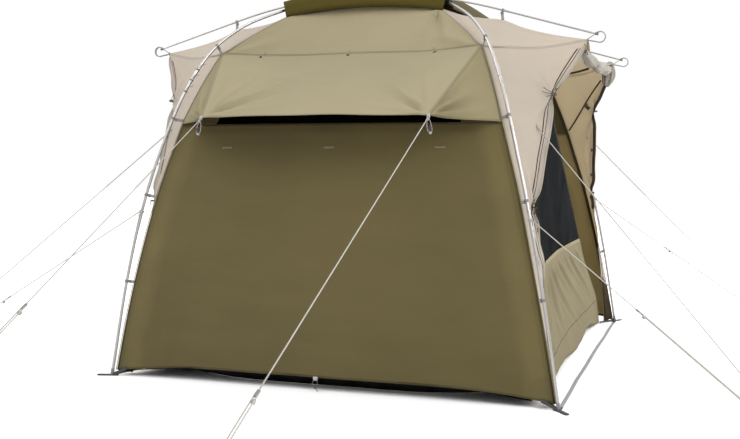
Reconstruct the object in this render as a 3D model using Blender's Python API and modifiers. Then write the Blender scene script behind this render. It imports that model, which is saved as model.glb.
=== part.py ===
"""Family tent on two crossing main poles and two wing poles.

The poles stand outside the cloth, and the cloth hangs inside them from straps and clips.
X runs to the right, Y away from the front wall and Z up, with the origin on the ground
under the middle of the roof. Every piece is made for the front right quarter (x > 0, y < 0)
and its copies are mirrored in x and y. Metres throughout.
"""
import math

import bmesh
import bpy
import numpy as np
from mathutils import Vector

# Driving dimensions
FOOT_X = 1.2575
FOOT_Y = 1.480
RIDGE_Y = 0.7625
PEAK_X = 1.2875
PEAK_Z = 1.880
CAP_X = 0.500
CAP_Y = 0.785
APEX_Z = 2.290
EAVE_SAG = 0.075
HEM_Z = 0.073

MAIN_POLE_R = 0.008
WING_POLE_R = 0.0055
GUY_R = 0.0015
CLOTH_T = 0.002
NET_T = 0.0012
WEB_T = 0.003
WEB_W = 0.025
STRAP_W = 0.016
STRAP_T = 0.0025
ROLL_R = 0.040
ROLL_RAISE = 0.001
FOOT_LIFT = 0.0014
CROSSING_REACH = 0.25
WELD = 0.0025
SEAM = 0.00045
FOLD_SEAM = 0.0011
EAVE_FOLD = 0.0018
FOOT_FOLD = 0.0028
TOUCH = 0.0003

# Named points of the front right quarter
SHOULDER = (0.765, -1.060, 1.835)
PEAK = (PEAK_X, -RIDGE_Y + 0.0075, PEAK_Z)
KNOT = (1.130, -0.970, 1.570)
HOOD_CORNER = (0.918, -1.259, 1.420)
TIE = (1.090, -1.285, 0.985)
LOW_TIE = (1.140, -1.240, 0.700)
SIDE_FOOT = (1.185, -1.385, 0.004)
HEM_CORNER = (1.239, -1.458, 0.030)
ROOF_CORNER = (0.4625, -0.770, 2.082)
CLIP_POINT = (0.8175, -RIDGE_Y, 2.003)
HOOD_GUY = (0.6225, -1.6025, 1.4425)
CORNER_PEG = (2.320, -1.990, 0.0)
HOOD_PEG = (0.550, -4.334, 0.0)
LOWER_ANCHOR = (1.1000, -1.4165, 0.925)
VENT_X = 0.672
VENT_HEIGHT = 0.230
VENT_CENTRE = (0.0, -1.170, 1.555)
CUTTER_DEPTH = 0.60
CAP_FRONT_DROP = 0.070
CAP_SIDE_DROP = 0.050
CAP_FLARE = 0.006
CAP_OVER_WING = 0.016
DIAGONAL_TOP = (-0.930, 1.552)
DIAGONAL_FOOT = (1.360, 0.155)
SIDE_HEM_RISE = 0.055
SIDE_HEM_PEGS = (SIDE_FOOT[1], 0.220, 1.360)
SKIRT_TOP_X = 1.120
SKIRT_FOOT_X = 1.060
SKIRT_FOOT_IN = 0.138
SKIRT_END_IN = 0.170
SKIRT_BEND = 0.550

QUARTERS = {
    "front_right": (1, 1),
    "front_left": (-1, 1),
    "rear_right": (1, -1),
    "rear_left": (-1, -1),
}
ENDS = {"front": 1, "rear": -1}
SIDES = {"right": 1, "left": -1}

MATERIALS = {
    "pole_silver": ((0.62, 0.62, 0.63), 0.32, 1.0),
    "cloth_beige": ((0.60, 0.53, 0.43), 0.85, 0.0),
    "cloth_khaki": ((0.38, 0.35, 0.22), 0.85, 0.0),
    "cloth_olive": ((0.16, 0.14, 0.07), 0.85, 0.0),
    "mesh_black": ((0.02, 0.02, 0.022), 0.9, 0.0),
    "skirt_black": ((0.03, 0.03, 0.03), 0.8, 0.0),
    "web_grey": ((0.30, 0.30, 0.30), 0.8, 0.0),
    "cord_cream": ((0.62, 0.58, 0.50), 0.7, 0.0),
    "peg_steel": ((0.45, 0.45, 0.46), 0.4, 1.0),
}


def clear_scene():
    """Remove every object of the open file."""
    for item in list(bpy.data.objects):
        bpy.data.objects.remove(item, do_unlink=True)


def make_materials():
    """One Principled material for each finish."""
    made = {}
    for name, (color, roughness, metallic) in MATERIALS.items():
        material = bpy.data.materials.new(name)
        material.use_nodes = True
        shader = material.node_tree.nodes["Principled BSDF"]
        shader.inputs["Base Color"].default_value = (*color, 1.0)
        shader.inputs["Roughness"].default_value = roughness
        shader.inputs["Metallic"].default_value = metallic
        made[name] = material
    return made


clear_scene()
TENT = bpy.data.collections.new("family_tent")
CUTTERS = bpy.data.collections.new("cutters")
bpy.context.scene.collection.children.link(TENT)
bpy.context.scene.collection.children.link(CUTTERS)
FINISH = make_materials()


def mirrored(points, signs):
    """Move points of the front right quarter to another quarter."""
    return np.asarray(points, float) * np.array([signs[0], signs[1], 1.0])


def smooth(points, count):
    """Points at even steps on a smooth curve through the given points.

    Between two points runs a cubic whose end slopes are those of the chord of their
    neighbours, so the curve passes through every point.
    """
    p = np.asarray(points, float)
    lengths = np.concatenate([[0], np.cumsum(np.linalg.norm(np.diff(p, axis=0), axis=1))])
    slopes = np.gradient(p, lengths, axis=0)
    at = np.linspace(0, lengths[-1], count)
    k = np.clip(np.searchsorted(lengths, at, side="right") - 1, 0, len(p) - 2)
    span = (lengths[k + 1] - lengths[k])[:, None]
    t = (at[:, None] - lengths[k][:, None]) / span
    h00 = 2 * t ** 3 - 3 * t ** 2 + 1
    h10 = t ** 3 - 2 * t ** 2 + t
    h01 = -2 * t ** 3 + 3 * t ** 2
    h11 = t ** 3 - t ** 2
    return h00 * p[k] + h10 * span * slopes[k] + h01 * p[k + 1] + h11 * span * slopes[k + 1]


def link(obj, finish):
    """Give an object its material and put it in the tent's collection."""
    obj.data.materials.append(FINISH[finish])
    TENT.objects.link(obj)
    return obj


def tube(name, points, radius, finish, sides=2):
    """A round pole or cord with filled ends along straight runs between the points."""
    curve = bpy.data.curves.new(name, "CURVE")
    curve.dimensions = "3D"
    curve.bevel_depth = radius
    curve.bevel_resolution = sides
    curve.use_fill_caps = True
    spline = curve.splines.new("POLY")
    spline.points.add(len(points) - 1)
    for knot, place in zip(spline.points, points):
        knot.co = (*[float(value) for value in place], 1.0)
    return link(bpy.data.objects.new(name, curve), finish)


def pull_in(grid, seams):
    """Move the four edges of a grid inwards by the seam widths, in the sheet's own surface.

    seams are the widths at the first row, the last row, the first and the last column.
    """
    out = grid.copy()
    for rows, width, axis in ((0, seams[0], 0), (-1, seams[1], 0), (0, seams[2], 1), (-1, seams[3], 1)):
        edge = np.take(grid, rows, axis)
        inner = np.take(grid, 1 if rows == 0 else -2, axis)
        step = inner - edge
        size = np.linalg.norm(step, axis=1, keepdims=True)
        move = np.where(size > 1e-4, step / np.maximum(size, 1e-4), 0) * np.reshape(width, (-1, 1))
        if axis == 0:
            out[rows] += move
        else:
            out[:, rows] += move
    return out


def sheet(name, grid, finish, seams=(SEAM, SEAM, SEAM, SEAM), thick=CLOTH_T):
    """A sheet of cloth: a grid of places made a surface, then thickened both ways."""
    grid = pull_in(np.asarray(grid, float), seams)
    rows, columns = grid.shape[:2]
    bm = bmesh.new()
    verts = [bm.verts.new(place) for place in grid.reshape(-1, 3)]
    for i in range(rows - 1):
        for j in range(columns - 1):
            a = i * columns + j
            bm.faces.new((verts[a], verts[a + 1], verts[a + columns + 1], verts[a + columns]))
    bmesh.ops.remove_doubles(bm, verts=bm.verts, dist=WELD)
    bmesh.ops.recalc_face_normals(bm, faces=bm.faces)
    mesh = bpy.data.meshes.new(name)
    bm.to_mesh(mesh)
    bm.free()
    obj = link(bpy.data.objects.new(name, mesh), finish)
    shell = obj.modifiers.new("Cloth", "SOLIDIFY")
    shell.thickness = thick
    shell.offset = 0.0
    shell.use_even_offset = True
    return obj


def ruled(left, right, across):
    """A surface of straight lines between two curves with the same number of points."""
    t = np.linspace(0, 1, across)[None, :, None]
    return np.asarray(left)[:, None] * (1 - t) + np.asarray(right)[:, None] * t


def cutter(name, centre, size):
    """A hidden box for a Boolean."""
    bm = bmesh.new()
    bmesh.ops.create_cube(bm, size=1.0)
    bmesh.ops.scale(bm, vec=size, verts=bm.verts)
    mesh = bpy.data.meshes.new(name)
    bm.to_mesh(mesh)
    bm.free()
    obj = bpy.data.objects.new(name, mesh)
    obj.location = centre
    obj.hide_render = True
    obj.display_type = "WIRE"
    CUTTERS.objects.link(obj)
    return obj


def combine(target, operation, piece):
    """Add a Boolean with a hidden piece to a target."""
    step = target.modifiers.new(operation.title(), "BOOLEAN")
    step.operation = operation
    step.solver = "EXACT"
    step.object = piece


def main_pole_quarter():
    """The main pole from its foot to the crossing, as measured places on one smooth bend."""
    knots = [
        (FOOT_X, -FOOT_Y, WEB_T + TOUCH + FOOT_LIFT),
        (1.170, -1.4525, 0.550),
        (1.105, -1.420, 0.885),
        (1.0525, -1.3825, 1.1125),
        (1.005, -1.340, 1.2925),
        (0.9625, -1.295, 1.445),
        (0.920, -1.245, 1.585),
        (0.870, -1.1825, 1.720),
        (0.805, -1.100, 1.8525),
        (0.6975, -0.970, 1.985),
        (0.500, -0.7475, 2.1175),
        (0.250, -0.374, 2.2465),
        (0.0, 0.0, APEX_Z),
    ]
    return smooth(knots, 25)


def main_pole(name, turn, drop):
    """One whole main pole, corner to corner, lowered by drop where it passes its twin."""
    quarter = main_pole_quarter()
    near = mirrored(quarter, (turn, 1))
    far = mirrored(quarter[::-1], (-turn, -1))[1:]
    path = np.concatenate([near, far])
    closeness = np.exp(-(np.hypot(path[:, 0], path[:, 1]) / CROSSING_REACH) ** 2)
    path[:, 2] -= drop * closeness
    return tube(name, path, MAIN_POLE_R, "pole_silver")


WING_BEND_X = 0.80
WING_TIP_X = 1.330
WING_APEX_Z = 2.179
WING_SLOPE = 0.29


def wing_height(x):
    """Height of the wing pole's axis: an arc over the middle and straight beyond its bend."""
    inner = np.minimum(np.abs(x), WING_BEND_X)
    arc = WING_APEX_Z - WING_SLOPE / (2 * WING_BEND_X) * inner ** 2
    return arc - WING_SLOPE * np.maximum(np.abs(x) - WING_BEND_X, 0)


def wing_path():
    """The front wing pole's axis, level with the roof's ridge and parallel to X."""
    x = np.linspace(-WING_TIP_X, WING_TIP_X, 31)
    return np.stack([x, np.full_like(x, -RIDGE_Y), wing_height(x)], 1)


def wing_pole(name, end):
    """One wing pole."""
    return tube(name, mirrored(wing_path(), (1, end)), WING_POLE_R, "pole_silver")


UPPER_ROWS = 4
KNOT_ROW = 3
LOW_TIE_ROW = 10


def front_edge():
    """The corner seam of the front wall, from the shoulder down inside the main pole."""
    upper = smooth([SHOULDER, (0.845, -1.165, 1.640), HOOD_CORNER], UPPER_ROWS)
    lower = smooth([HOOD_CORNER, (1.029, -1.345, 1.035), (1.112, -1.405, 0.676),
                    (1.190, -1.440, 0.300), HEM_CORNER], 12)[1:]
    return np.concatenate([upper, lower])


def door_edge():
    """The free edge of the corner panel: peak, knot, tie, and down to the foot."""
    upper = smooth([PEAK, (1.200, -0.850, 1.730), KNOT], 4)
    middle = smooth([KNOT, (1.105, -1.135, 1.270), TIE], 5)[1:]
    waist = smooth([TIE, (1.110, -1.255, 0.850), LOW_TIE], 4)[1:]
    lower = smooth([LOW_TIE, (1.165, -1.325, 0.350), SIDE_FOOT], 5)[1:]
    return np.concatenate([upper, middle, waist, lower])


def eave_seam():
    """The seam from the shoulder to the peak, where roof and corner panel meet."""
    return smooth([SHOULDER, (1.030, -0.912, 1.828), PEAK], 5)


def hip():
    """The seam from the roof's corner to the shoulder, under the main pole."""
    return smooth([ROOF_CORNER, (0.614, -0.918, 1.965), SHOULDER], 4)


def corner_folds():
    """Seam width down the front wall's corner: it grows as the fold there gets sharper."""
    level = front_edge()[:, 2]
    return FOLD_SEAM + (FOOT_FOLD - FOLD_SEAM) * np.clip((1.2 - level) / 1.1, 0, 1)


def panel_grid():
    """Places of the front right corner panel: rows from the roof down, columns to the door."""
    grid = ruled(front_edge(), door_edge(), 5)
    bend = eave_seam() - grid[0]
    for row in range(KNOT_ROW):
        grid[row] += bend * (1 - row / KNOT_ROW)
    return grid


def corner_panel(corner, signs):
    """Beige panel round a corner, from the shoulder seam to the ground."""
    grid = mirrored(panel_grid(), signs)
    seams = (EAVE_FOLD, 0.0, corner_folds(), SEAM)
    obj = sheet("corner_panel_" + corner, grid, "cloth_beige", seams)
    start = np.array(SHOULDER) + (0.006, 0.010, -0.012)
    add_strap(obj, start, main_pole_quarter(), signs, MAIN_POLE_R)
    return obj


def nearest_on(path, place):
    """The place on a path of straight runs that lies nearest to a given place."""
    start = path[:-1]
    run = path[1:] - start
    t = np.clip(((place - start) * run).sum(1) / (run ** 2).sum(1), 0, 1)
    feet = start + run * t[:, None]
    return feet[np.argmin(np.linalg.norm(feet - place, axis=1))]


def add_strap(target, bottom, pole_path, signs, pole_radius):
    """A short strap of webbing from the cloth to the nearest side of its pole."""
    low = mirrored(bottom, signs)
    high = mirrored(nearest_on(pole_path, np.asarray(bottom)), signs)
    way = high - low
    reach = np.linalg.norm(way)
    way = way / reach
    end = high - way * (pole_radius + TOUCH)
    middle = (low + end) / 2
    length = np.linalg.norm(end - low)
    strap = cutter(target.name + "_strap", middle, (STRAP_W, STRAP_T, length))
    strap.rotation_mode = "QUATERNION"
    strap.rotation_quaternion = Vector(way).to_track_quat("Z", "Y")
    combine(target, "UNION", strap)


SEAM_POINTS = 13


def seam_line():
    """The seam between the front roof panel and the wall, shoulder to shoulder."""
    half = [SHOULDER, (0.4975, -0.9775, 1.823), (0.0, -0.935, 1.826)]
    left = [(-x, y, z) for x, y, z in half[:2]]
    return smooth(left + half[::-1], SEAM_POINTS)


def fit_ends(grid, edge):
    """Bend the rows of a grid so that both their ends lie on an edge and its mirror image."""
    out = grid.copy()
    across = np.linspace(-1, 1, grid.shape[1])
    for k, place in enumerate(edge):
        right = np.asarray(place) - grid[k, -1]
        left = np.asarray(place) * (-1, 1, 1) - grid[k, 0]
        weight = np.abs(across[:, None]) ** 3
        out[k] += np.where(across[:, None] > 0, right, left) * weight
    return out


def roof_panel(end, sign):
    """Khaki panel between the cap and the hood seam."""
    top = smooth([(-ROOF_CORNER[0], *ROOF_CORNER[1:]), (0, -0.735, 2.120), ROOF_CORNER], SEAM_POINTS)
    grid = ruled(top, seam_line(), 4).transpose(1, 0, 2)
    grid = fit_ends(grid, hip())
    grid = mirrored(grid, (1, sign))
    sheet("roof_panel_" + end, grid, "cloth_khaki", (SEAM, SEAM, FOLD_SEAM, FOLD_SEAM))


def wing_ridge(count):
    """Top edge of the cloth under the wing pole, from the roof corner out to the peak."""
    return smooth([ROOF_CORNER, (0.620, -RIDGE_Y, 2.030), CLIP_POINT, (0.955, -RIDGE_Y, 1.949),
                   (1.120, -RIDGE_Y, 1.908), PEAK], count)


def eave(count):
    """Side edge of the roof between the two peaks: it sags down and inwards."""
    t = np.linspace(-1, 1, count)
    sag = 1 - t ** 2
    return np.stack([PEAK_X - 0.050 * sag, PEAK[1] * -t, PEAK_Z - EAVE_SAG * sag], 1)


def roof_wing(side, sign):
    """Beige roof on one side: a front and a rear facet and the hanging middle."""
    columns = 8
    ridge = wing_ridge(columns)
    outer = np.concatenate([hip(), eave_seam()[1:]])
    facet = [outer * (1 - t) + ridge * t for t in (0.0, 0.5)]
    rows = 9
    edge = eave(rows)
    v = np.linspace(-1, 1, rows)
    u = np.linspace(0, 1, columns)
    middle = []
    for k in range(rows):
        blend = np.abs(v[k])
        inner = np.array((ROOF_CORNER[0], ROOF_CORNER[1] * -v[k], ROOF_CORNER[2] + 0.010 * (1 - v[k] ** 2)))
        line = inner[None] * (1 - u[:, None]) + edge[k][None] * u[:, None]
        front = ridge.copy()
        front[:, 1] = front[:, 1] * -v[k]
        middle.append(line * (1 - blend ** 3) + front * blend ** 3)
    back = [mirrored(row, (1, -1)) for row in facet[::-1]]
    grid = mirrored(np.array(facet + middle + back), (sign, 1))
    folds = np.where(np.arange(columns) < 3, FOLD_SEAM, EAVE_FOLD)
    obj = sheet("roof_wing_" + side, grid, "cloth_beige", (folds, folds, SEAM, 0.0))
    for turn in (1, -1):
        add_strap(obj, np.array(CLIP_POINT) + (0, 0, -0.004), wing_path(), (sign, turn), WING_POLE_R)
        add_strap(obj, np.array(PEAK) + (-0.030, -0.004, 0.002), wing_path(), (sign, turn), WING_POLE_R)
    return obj


def hood(end, sign):
    """Khaki hood over the wall's vent, pulled out by two guy lines."""
    lift = np.array([0, -0.0024, 0.0010])
    top = seam_line()[1:-1] + lift
    guy_r = np.array(HOOD_GUY)
    guy_l = guy_r * (-1, 1, 1)
    middle_low = smooth([guy_l, (0, -1.585, 1.452), guy_r], SEAM_POINTS - 2)
    t = np.linspace(0, 1, UPPER_ROWS)[:, None, None]
    centre = top[None] * (1 - t) + middle_low[None] * t
    right = (front_edge()[:UPPER_ROWS] + (-0.014, -0.004, 0.001))[:, None]
    grid = np.concatenate([right * (-1, 1, 1), centre, right], 1)
    grid = mirrored(grid, (1, sign))
    sheet("hood_" + end, grid, "cloth_khaki", (0.0, 0.0, 0.0, 0.0))


def wall_row(level, count):
    """A level line of the front wall: nearly straight between the two corner seams."""
    edge = front_edge()
    x = np.interp(-level, -edge[:, 2], edge[:, 0])
    y = np.interp(-level, -edge[:, 2], edge[:, 1])
    across = np.linspace(-1, 1, count)
    return np.stack([x * across, np.full(count, y), np.full(count, level)], 1)


def upper_wall(end, sign):
    """Wall behind the hood, with the opening for the vent left open."""
    low = wall_row(HOOD_CORNER[2], SEAM_POINTS)
    grid = ruled(seam_line(), low, UPPER_ROWS).transpose(1, 0, 2)
    grid = mirrored(fit_ends(grid, front_edge()[:UPPER_ROWS]), (1, sign))
    obj = sheet("upper_wall_" + end, grid, "cloth_khaki", (SEAM * 2.2, SEAM, FOLD_SEAM, FOLD_SEAM))
    centre = mirrored(VENT_CENTRE, (1, sign))
    window = cutter("vent_cutter_" + end, centre, (2 * VENT_X, CUTTER_DEPTH, VENT_HEIGHT))
    combine(obj, "DIFFERENCE", window)
    return grid


def vent_mesh(end, grid, sign):
    """Black mesh in the vent: the same surface as the wall, cut to the opening."""
    obj = sheet("vent_mesh_" + end, grid, "mesh_black", (0.0, 0.0, 0.0, 0.0), NET_T)
    centre = mirrored(VENT_CENTRE, (1, sign))
    size = (2 * VENT_X - 2 * TOUCH, CUTTER_DEPTH, VENT_HEIGHT - 2 * TOUCH)
    combine(obj, "INTERSECT", cutter("vent_keeper_" + end, centre, size))


def wall_cover(end, sign):
    """Olive wall between the corner seams, from under the hood to the hem."""
    levels = front_edge()[UPPER_ROWS - 1:, 2]
    rows = [wall_row(level, SEAM_POINTS) for level in levels]
    bow = 1 - np.linspace(-1, 1, SEAM_POINTS) ** 2
    lift = (HEM_Z - HEM_CORNER[2]) * np.minimum(1, 1.6 * bow)
    fade = np.clip((0.5 - levels) / 0.5, 0, 1)
    grid = np.array(rows)
    grid[:, :, 2] += lift[None] * fade[:, None]
    grid = mirrored(grid, (1, sign))
    folds = corner_folds()[UPPER_ROWS - 1:]
    sheet("wall_cover_" + end, grid, "cloth_olive", (SEAM, SEAM, folds, folds))


def mud_skirt(end, sign):
    """Black flap from the wall's hem in to the ground, which it meets further in at its ends."""
    count = SEAM_POINTS
    across = np.linspace(-1, 1, count)
    hem_z = HEM_CORNER[2] + (HEM_Z - HEM_CORNER[2]) * np.minimum(1, 1.6 * (1 - across ** 2))
    bend = np.clip((np.abs(across) - SKIRT_BEND) / (1 - SKIRT_BEND), 0, 1) ** 2
    top = np.stack([SKIRT_TOP_X * across, np.full(count, HEM_CORNER[1]), hem_z], 1)
    foot_y = HEM_CORNER[1] + SKIRT_FOOT_IN + SKIRT_END_IN * bend
    low = np.stack([SKIRT_FOOT_X * across, foot_y, np.full(count, 0.0015)], 1)
    middle = (top + low) / 2 + (0, 0.020, -0.004)
    grid = mirrored(np.array([top, middle, low]), (1, sign))
    sheet("mud_skirt_" + end, grid, "skirt_black", (0.0022, 0.0, 0.0, 0.0), 0.0015)


def diagonal(level):
    """Distance along Y of the door leaf's slanting free edge at a height."""
    top_y, top_z = DIAGONAL_TOP
    foot_y, foot_z = DIAGONAL_FOOT
    return np.interp(-level, (-top_z, -foot_z), (top_y, foot_y))


def leaf_row(start, count):
    """A level line of the side door's leaf, from the corner panel's edge to the diagonal."""
    x0, y0, level = start
    y1 = diagonal(level)
    x1 = 1.105 + 0.045 * np.clip((0.5 - level) / 0.5, 0, 1)
    t = np.linspace(0, 1, count)
    hollow = 0.018 * np.sin(math.pi * t) * (1 - level / 1.6)
    x = x0 + (x1 - x0) * np.minimum(1, t * 2.2) - hollow
    return np.stack([x, y0 + (y1 - y0) * t, np.full(count, level)], 1)


def hem_rise(place_y):
    """Height of the side hem over the ground: it arches up between the places where it is pegged."""
    front, middle, rear = SIDE_HEM_PEGS
    start = np.where(place_y < middle, front, middle)
    end = np.where(place_y < middle, middle, rear)
    return SIDE_HEM_RISE * np.sin(math.pi * np.clip((place_y - start) / (end - start), 0, 1)) ** 2


def side_leaf(side, sign):
    """The closed half of the side door: mesh above, cloth below with its hem arched up."""
    edge = door_edge()
    upper = np.array([leaf_row(start, 8) for start in edge[KNOT_ROW:LOW_TIE_ROW + 1]])
    lower = np.array([leaf_row(start, 8) for start in edge[LOW_TIE_ROW:]])
    near_hem = np.clip(1 - lower[:, :, 2] / LOW_TIE[2], 0, 1) ** 2
    lower[:, :, 2] += hem_rise(lower[:, :, 1]) * near_hem
    sheet("side_mesh_" + side, mirrored(upper, (sign, 1)), "mesh_black", (0.0016, SEAM, 0.0016, 0.0), 0.0015)
    sheet("side_panel_" + side, mirrored(lower, (sign, 1)), "cloth_khaki", (SEAM, 0.0, 0.0012, 0.0))


def rolled_door(side, sign):
    """The side door's outer cloth, rolled up and tied under the eave."""
    line = eave(9)[1:-1]
    line = line + (0.0, 0.0, ROLL_RAISE - ROLL_R)
    tube("rolled_door_" + side, mirrored(line, (sign, 1)), ROLL_R, "cloth_beige", 3)


def pole_height(share):
    """Height of the main pole's axis over a share of the way from the middle to the cap's corner."""
    path = main_pole_quarter()
    reach = np.hypot(path[:, 0], path[:, 1])
    return np.interp(share * math.hypot(CAP_X, CAP_Y - 0.0375), reach[::-1], path[::-1, 2])


def roof_cap():
    """Olive cap that lies on the crossing of the poles, with a valance between its corners."""
    half = np.array([0.155, 0.31, 0.465, 0.62, 0.775, 0.93, 1.0])
    steps = np.concatenate([-half[::-1], [0.0], half])
    x = steps * CAP_X
    y = steps * CAP_Y
    gx, gy = np.meshgrid(x, y, indexing="ij")
    share_x = np.abs(gx) / CAP_X
    share_y = np.abs(gy) / CAP_Y
    share = np.maximum(share_x, share_y)
    seat = MAIN_POLE_R + CLOTH_T / 2 + 2 * TOUCH + 0.008 * np.minimum(1, 5 * share)
    crown = pole_height(share) + seat
    end_rim = wing_height(gx) + CAP_OVER_WING
    side_rim = wing_height(CAP_X) + CAP_OVER_WING + 0.015 * (1 - share_y ** 2)
    rim = np.where(share_y >= share_x, end_rim, side_rim)
    top = crown + (rim - pole_height(1.0) - MAIN_POLE_R) * share ** 3
    grid = np.stack([gx, gy, top], 2)
    outer = np.pad(grid, ((1, 1), (1, 1), (0, 0)), mode="edge")
    end_drop = np.where(np.abs(steps) < 0.990, CAP_FRONT_DROP, 0.0)
    side_drop = np.where(np.abs(steps) < 0.800, CAP_SIDE_DROP, 0.0)
    outer[1:-1, 0, 2] -= end_drop
    outer[1:-1, -1, 2] -= end_drop
    outer[0, 1:-1, 2] -= side_drop
    outer[-1, 1:-1, 2] -= side_drop
    outer[1:-1, 0, 1] -= CAP_FLARE * (end_drop > 0)
    outer[1:-1, -1, 1] += CAP_FLARE * (end_drop > 0)
    outer[0, 1:-1, 0] -= CAP_FLARE * (side_drop > 0)
    outer[-1, 1:-1, 0] += CAP_FLARE * (side_drop > 0)
    return sheet("roof_cap", outer, "cloth_olive", (0.0, 0.0, 0.0, 0.0))


def roof_vent_mesh():
    """Mesh that closes the roof under the cap."""
    count = 9
    x = np.linspace(-1, 1, count)
    gx, gy = np.meshgrid(x, x, indexing="ij")
    half_x = ROOF_CORNER[0]
    half_y = -ROOF_CORNER[1] + (-0.735 - ROOF_CORNER[1]) * (gx ** 2 - 1)
    z = ROOF_CORNER[2] + 0.038 * (1 - gx ** 2) * np.abs(gy) + 0.035 * (1 - gy ** 2)
    grid = np.stack([gx * half_x, gy * half_y, z], 2)
    sheet("roof_vent_mesh", grid, "mesh_black", (FOLD_SEAM, FOLD_SEAM, FOLD_SEAM, FOLD_SEAM), NET_T)


def ground_strap(side, sign):
    """Webbing on the ground between the feet of one side, with a pad under each foot."""
    half = WEB_W / 2
    pad = 0.030
    tail = 0.110
    outline = []
    for end in (-1, 1):
        out = end * (FOOT_Y + 0.035)
        back = end * (FOOT_Y - 0.050)
        side_points = [(-half, back * 0.97), (-pad, back), (-pad, out), (tail, out - end * 0.010),
                       (tail, out - end * 0.035), (pad, out - end * 0.035), (pad, back), (half, back * 0.97)]
        outline += side_points if end < 0 else side_points[::-1]
    bm = bmesh.new()
    verts = [bm.verts.new((sign * (FOOT_X + x), y, 0.0)) for x, y in outline]
    bm.faces.new(verts)
    bmesh.ops.recalc_face_normals(bm, faces=bm.faces)
    if bm.faces[:][0].normal.z < 0:
        bmesh.ops.reverse_faces(bm, faces=bm.faces)
    mesh = bpy.data.meshes.new("ground_strap_" + side)
    bm.to_mesh(mesh)
    bm.free()
    obj = link(bpy.data.objects.new("ground_strap_" + side, mesh), "web_grey")
    thick = obj.modifiers.new("Web", "SOLIDIFY")
    thick.thickness = WEB_T
    thick.offset = 1.0
    return obj


PEG_TOP = 0.055
PEG_LEAN = 0.018
PEG_R = 0.004
LOOP_Z = 0.030
LOOP_R = 0.0062
ANCHOR_ROW = 4
ANCHOR_COLUMN = 3


def away_from(place, anchor):
    """Level direction from an anchor on the tent out to its peg."""
    way = (np.asarray(place) - np.asarray(anchor)) * (1, 1, 0)
    return way / np.linalg.norm(way)


def peg(name, place, signs, anchor):
    """The part of a peg that stands out of the ground, leaning away from its guy line."""
    away = away_from(place, anchor)
    lean = np.array((0, 0, PEG_TOP)) + away * PEG_LEAN
    foot = np.array(place) + (0, 0, PEG_R * PEG_LEAN / np.linalg.norm(lean))
    top = np.array(place) + lean
    neck = np.array(place) + lean * 0.85
    hook = top + away * -0.018 + (0, 0, 0.004)
    down = hook + (0, 0, -0.009) + away * -0.004
    path = np.array([foot, neck, top, hook, down])
    tube(name, mirrored(path, signs), PEG_R, "peg_steel", 1)


def loop_place(place, anchor):
    """Where a guy line's end loop bears on the side of its peg that faces the tent."""
    away = away_from(place, anchor)
    axis = np.array(place) + away * PEG_LEAN * LOOP_Z / PEG_TOP + (0, 0, LOOP_Z)
    return axis - away * (PEG_R + GUY_R / 2 + TOUCH)


def loop_round(place, anchor):
    """Half a turn of cord round the far side of a peg, level at the loop's height."""
    away = away_from(place, anchor)
    side = np.array((-away[1], away[0], 0.0))
    axis = np.array(place) + away * PEG_LEAN * LOOP_Z / PEG_TOP + (0, 0, LOOP_Z)
    turn = np.radians(np.linspace(90, -90, 7))[:, None]
    return axis + LOOP_R * (away * np.cos(turn) + side * np.sin(turn))


def corner_guys(corner, signs):
    """Two guy lines of a corner: from the corner panel and from the main pole to one peg."""
    panel = panel_grid()
    anchor = panel[ANCHOR_ROW, ANCHOR_COLUMN]
    level = panel[ANCHOR_ROW, ANCHOR_COLUMN + 1] - panel[ANCHOR_ROW, ANCHOR_COLUMN - 1]
    down = panel[ANCHOR_ROW + 1, ANCHOR_COLUMN] - panel[ANCHOR_ROW - 1, ANCHOR_COLUMN]
    outwards = np.cross(down, level)
    outwards = outwards / np.linalg.norm(outwards)
    upper = anchor + outwards * (CLOTH_T / 2 + GUY_R + TOUCH)
    on_pole = nearest_on(main_pole_quarter(), np.array(LOWER_ANCHOR))
    lower = on_pole + away_from(CORNER_PEG, on_pole) * (MAIN_POLE_R + GUY_R + TOUCH)
    path = np.array([upper, *loop_round(CORNER_PEG, upper), lower])
    tube("corner_guys_" + corner, mirrored(path, signs), GUY_R, "cord_cream")
    peg("corner_peg_" + corner, CORNER_PEG, signs, upper)


def hood_guy(corner, signs):
    """Guy line from the hood's edge to its peg."""
    end = loop_place(HOOD_PEG, HOOD_GUY)
    way = end - np.array(HOOD_GUY)
    way = way / np.linalg.norm(way)
    start = np.array(HOOD_GUY) + way * 2 * TOUCH
    path = mirrored(np.array([start, (start + end) / 2, end]), signs)
    tube("hood_guy_" + corner, path, GUY_R, "cord_cream")
    peg("hood_peg_" + corner, HOOD_PEG, signs, HOOD_GUY)


main_pole("main_pole_a", 1, 0.0)
main_pole("main_pole_b", -1, 2 * MAIN_POLE_R + TOUCH)
roof_cap()
roof_vent_mesh()
for end_name, end_sign in ENDS.items():
    wing_pole("wing_pole_" + end_name, end_sign)
    roof_panel(end_name, end_sign)
    hood(end_name, end_sign)
    wall_grid = upper_wall(end_name, end_sign)
    vent_mesh(end_name, wall_grid, end_sign)
    wall_cover(end_name, end_sign)
    mud_skirt(end_name, end_sign)
for side_name, side_sign in SIDES.items():
    roof_wing(side_name, side_sign)
    side_leaf(side_name, side_sign)
    rolled_door(side_name, side_sign)
    ground_strap(side_name, side_sign)
for corner_name, corner_signs in QUARTERS.items():
    corner_panel(corner_name, corner_signs)
    corner_guys(corner_name, corner_signs)
    hood_guy(corner_name, corner_signs)
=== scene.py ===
# %% [markdown]
# # A family tent, piece by piece
# The tent stands on two long poles that cross over its middle and on two short poles that
# lie over the roof and hold its wings up. All the poles stand outside the cloth. Thin cloth
# is hard to model by hand, so each sheet here is a surface worked out with numpy: a coarse
# net of measured places is made finer by a smooth curve rule, and folds are added where the
# real cloth is pulled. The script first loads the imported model, which fixes every place.

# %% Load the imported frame
import math

import bmesh
import bpy
import numpy as np
from mathutils import Matrix, Vector


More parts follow.
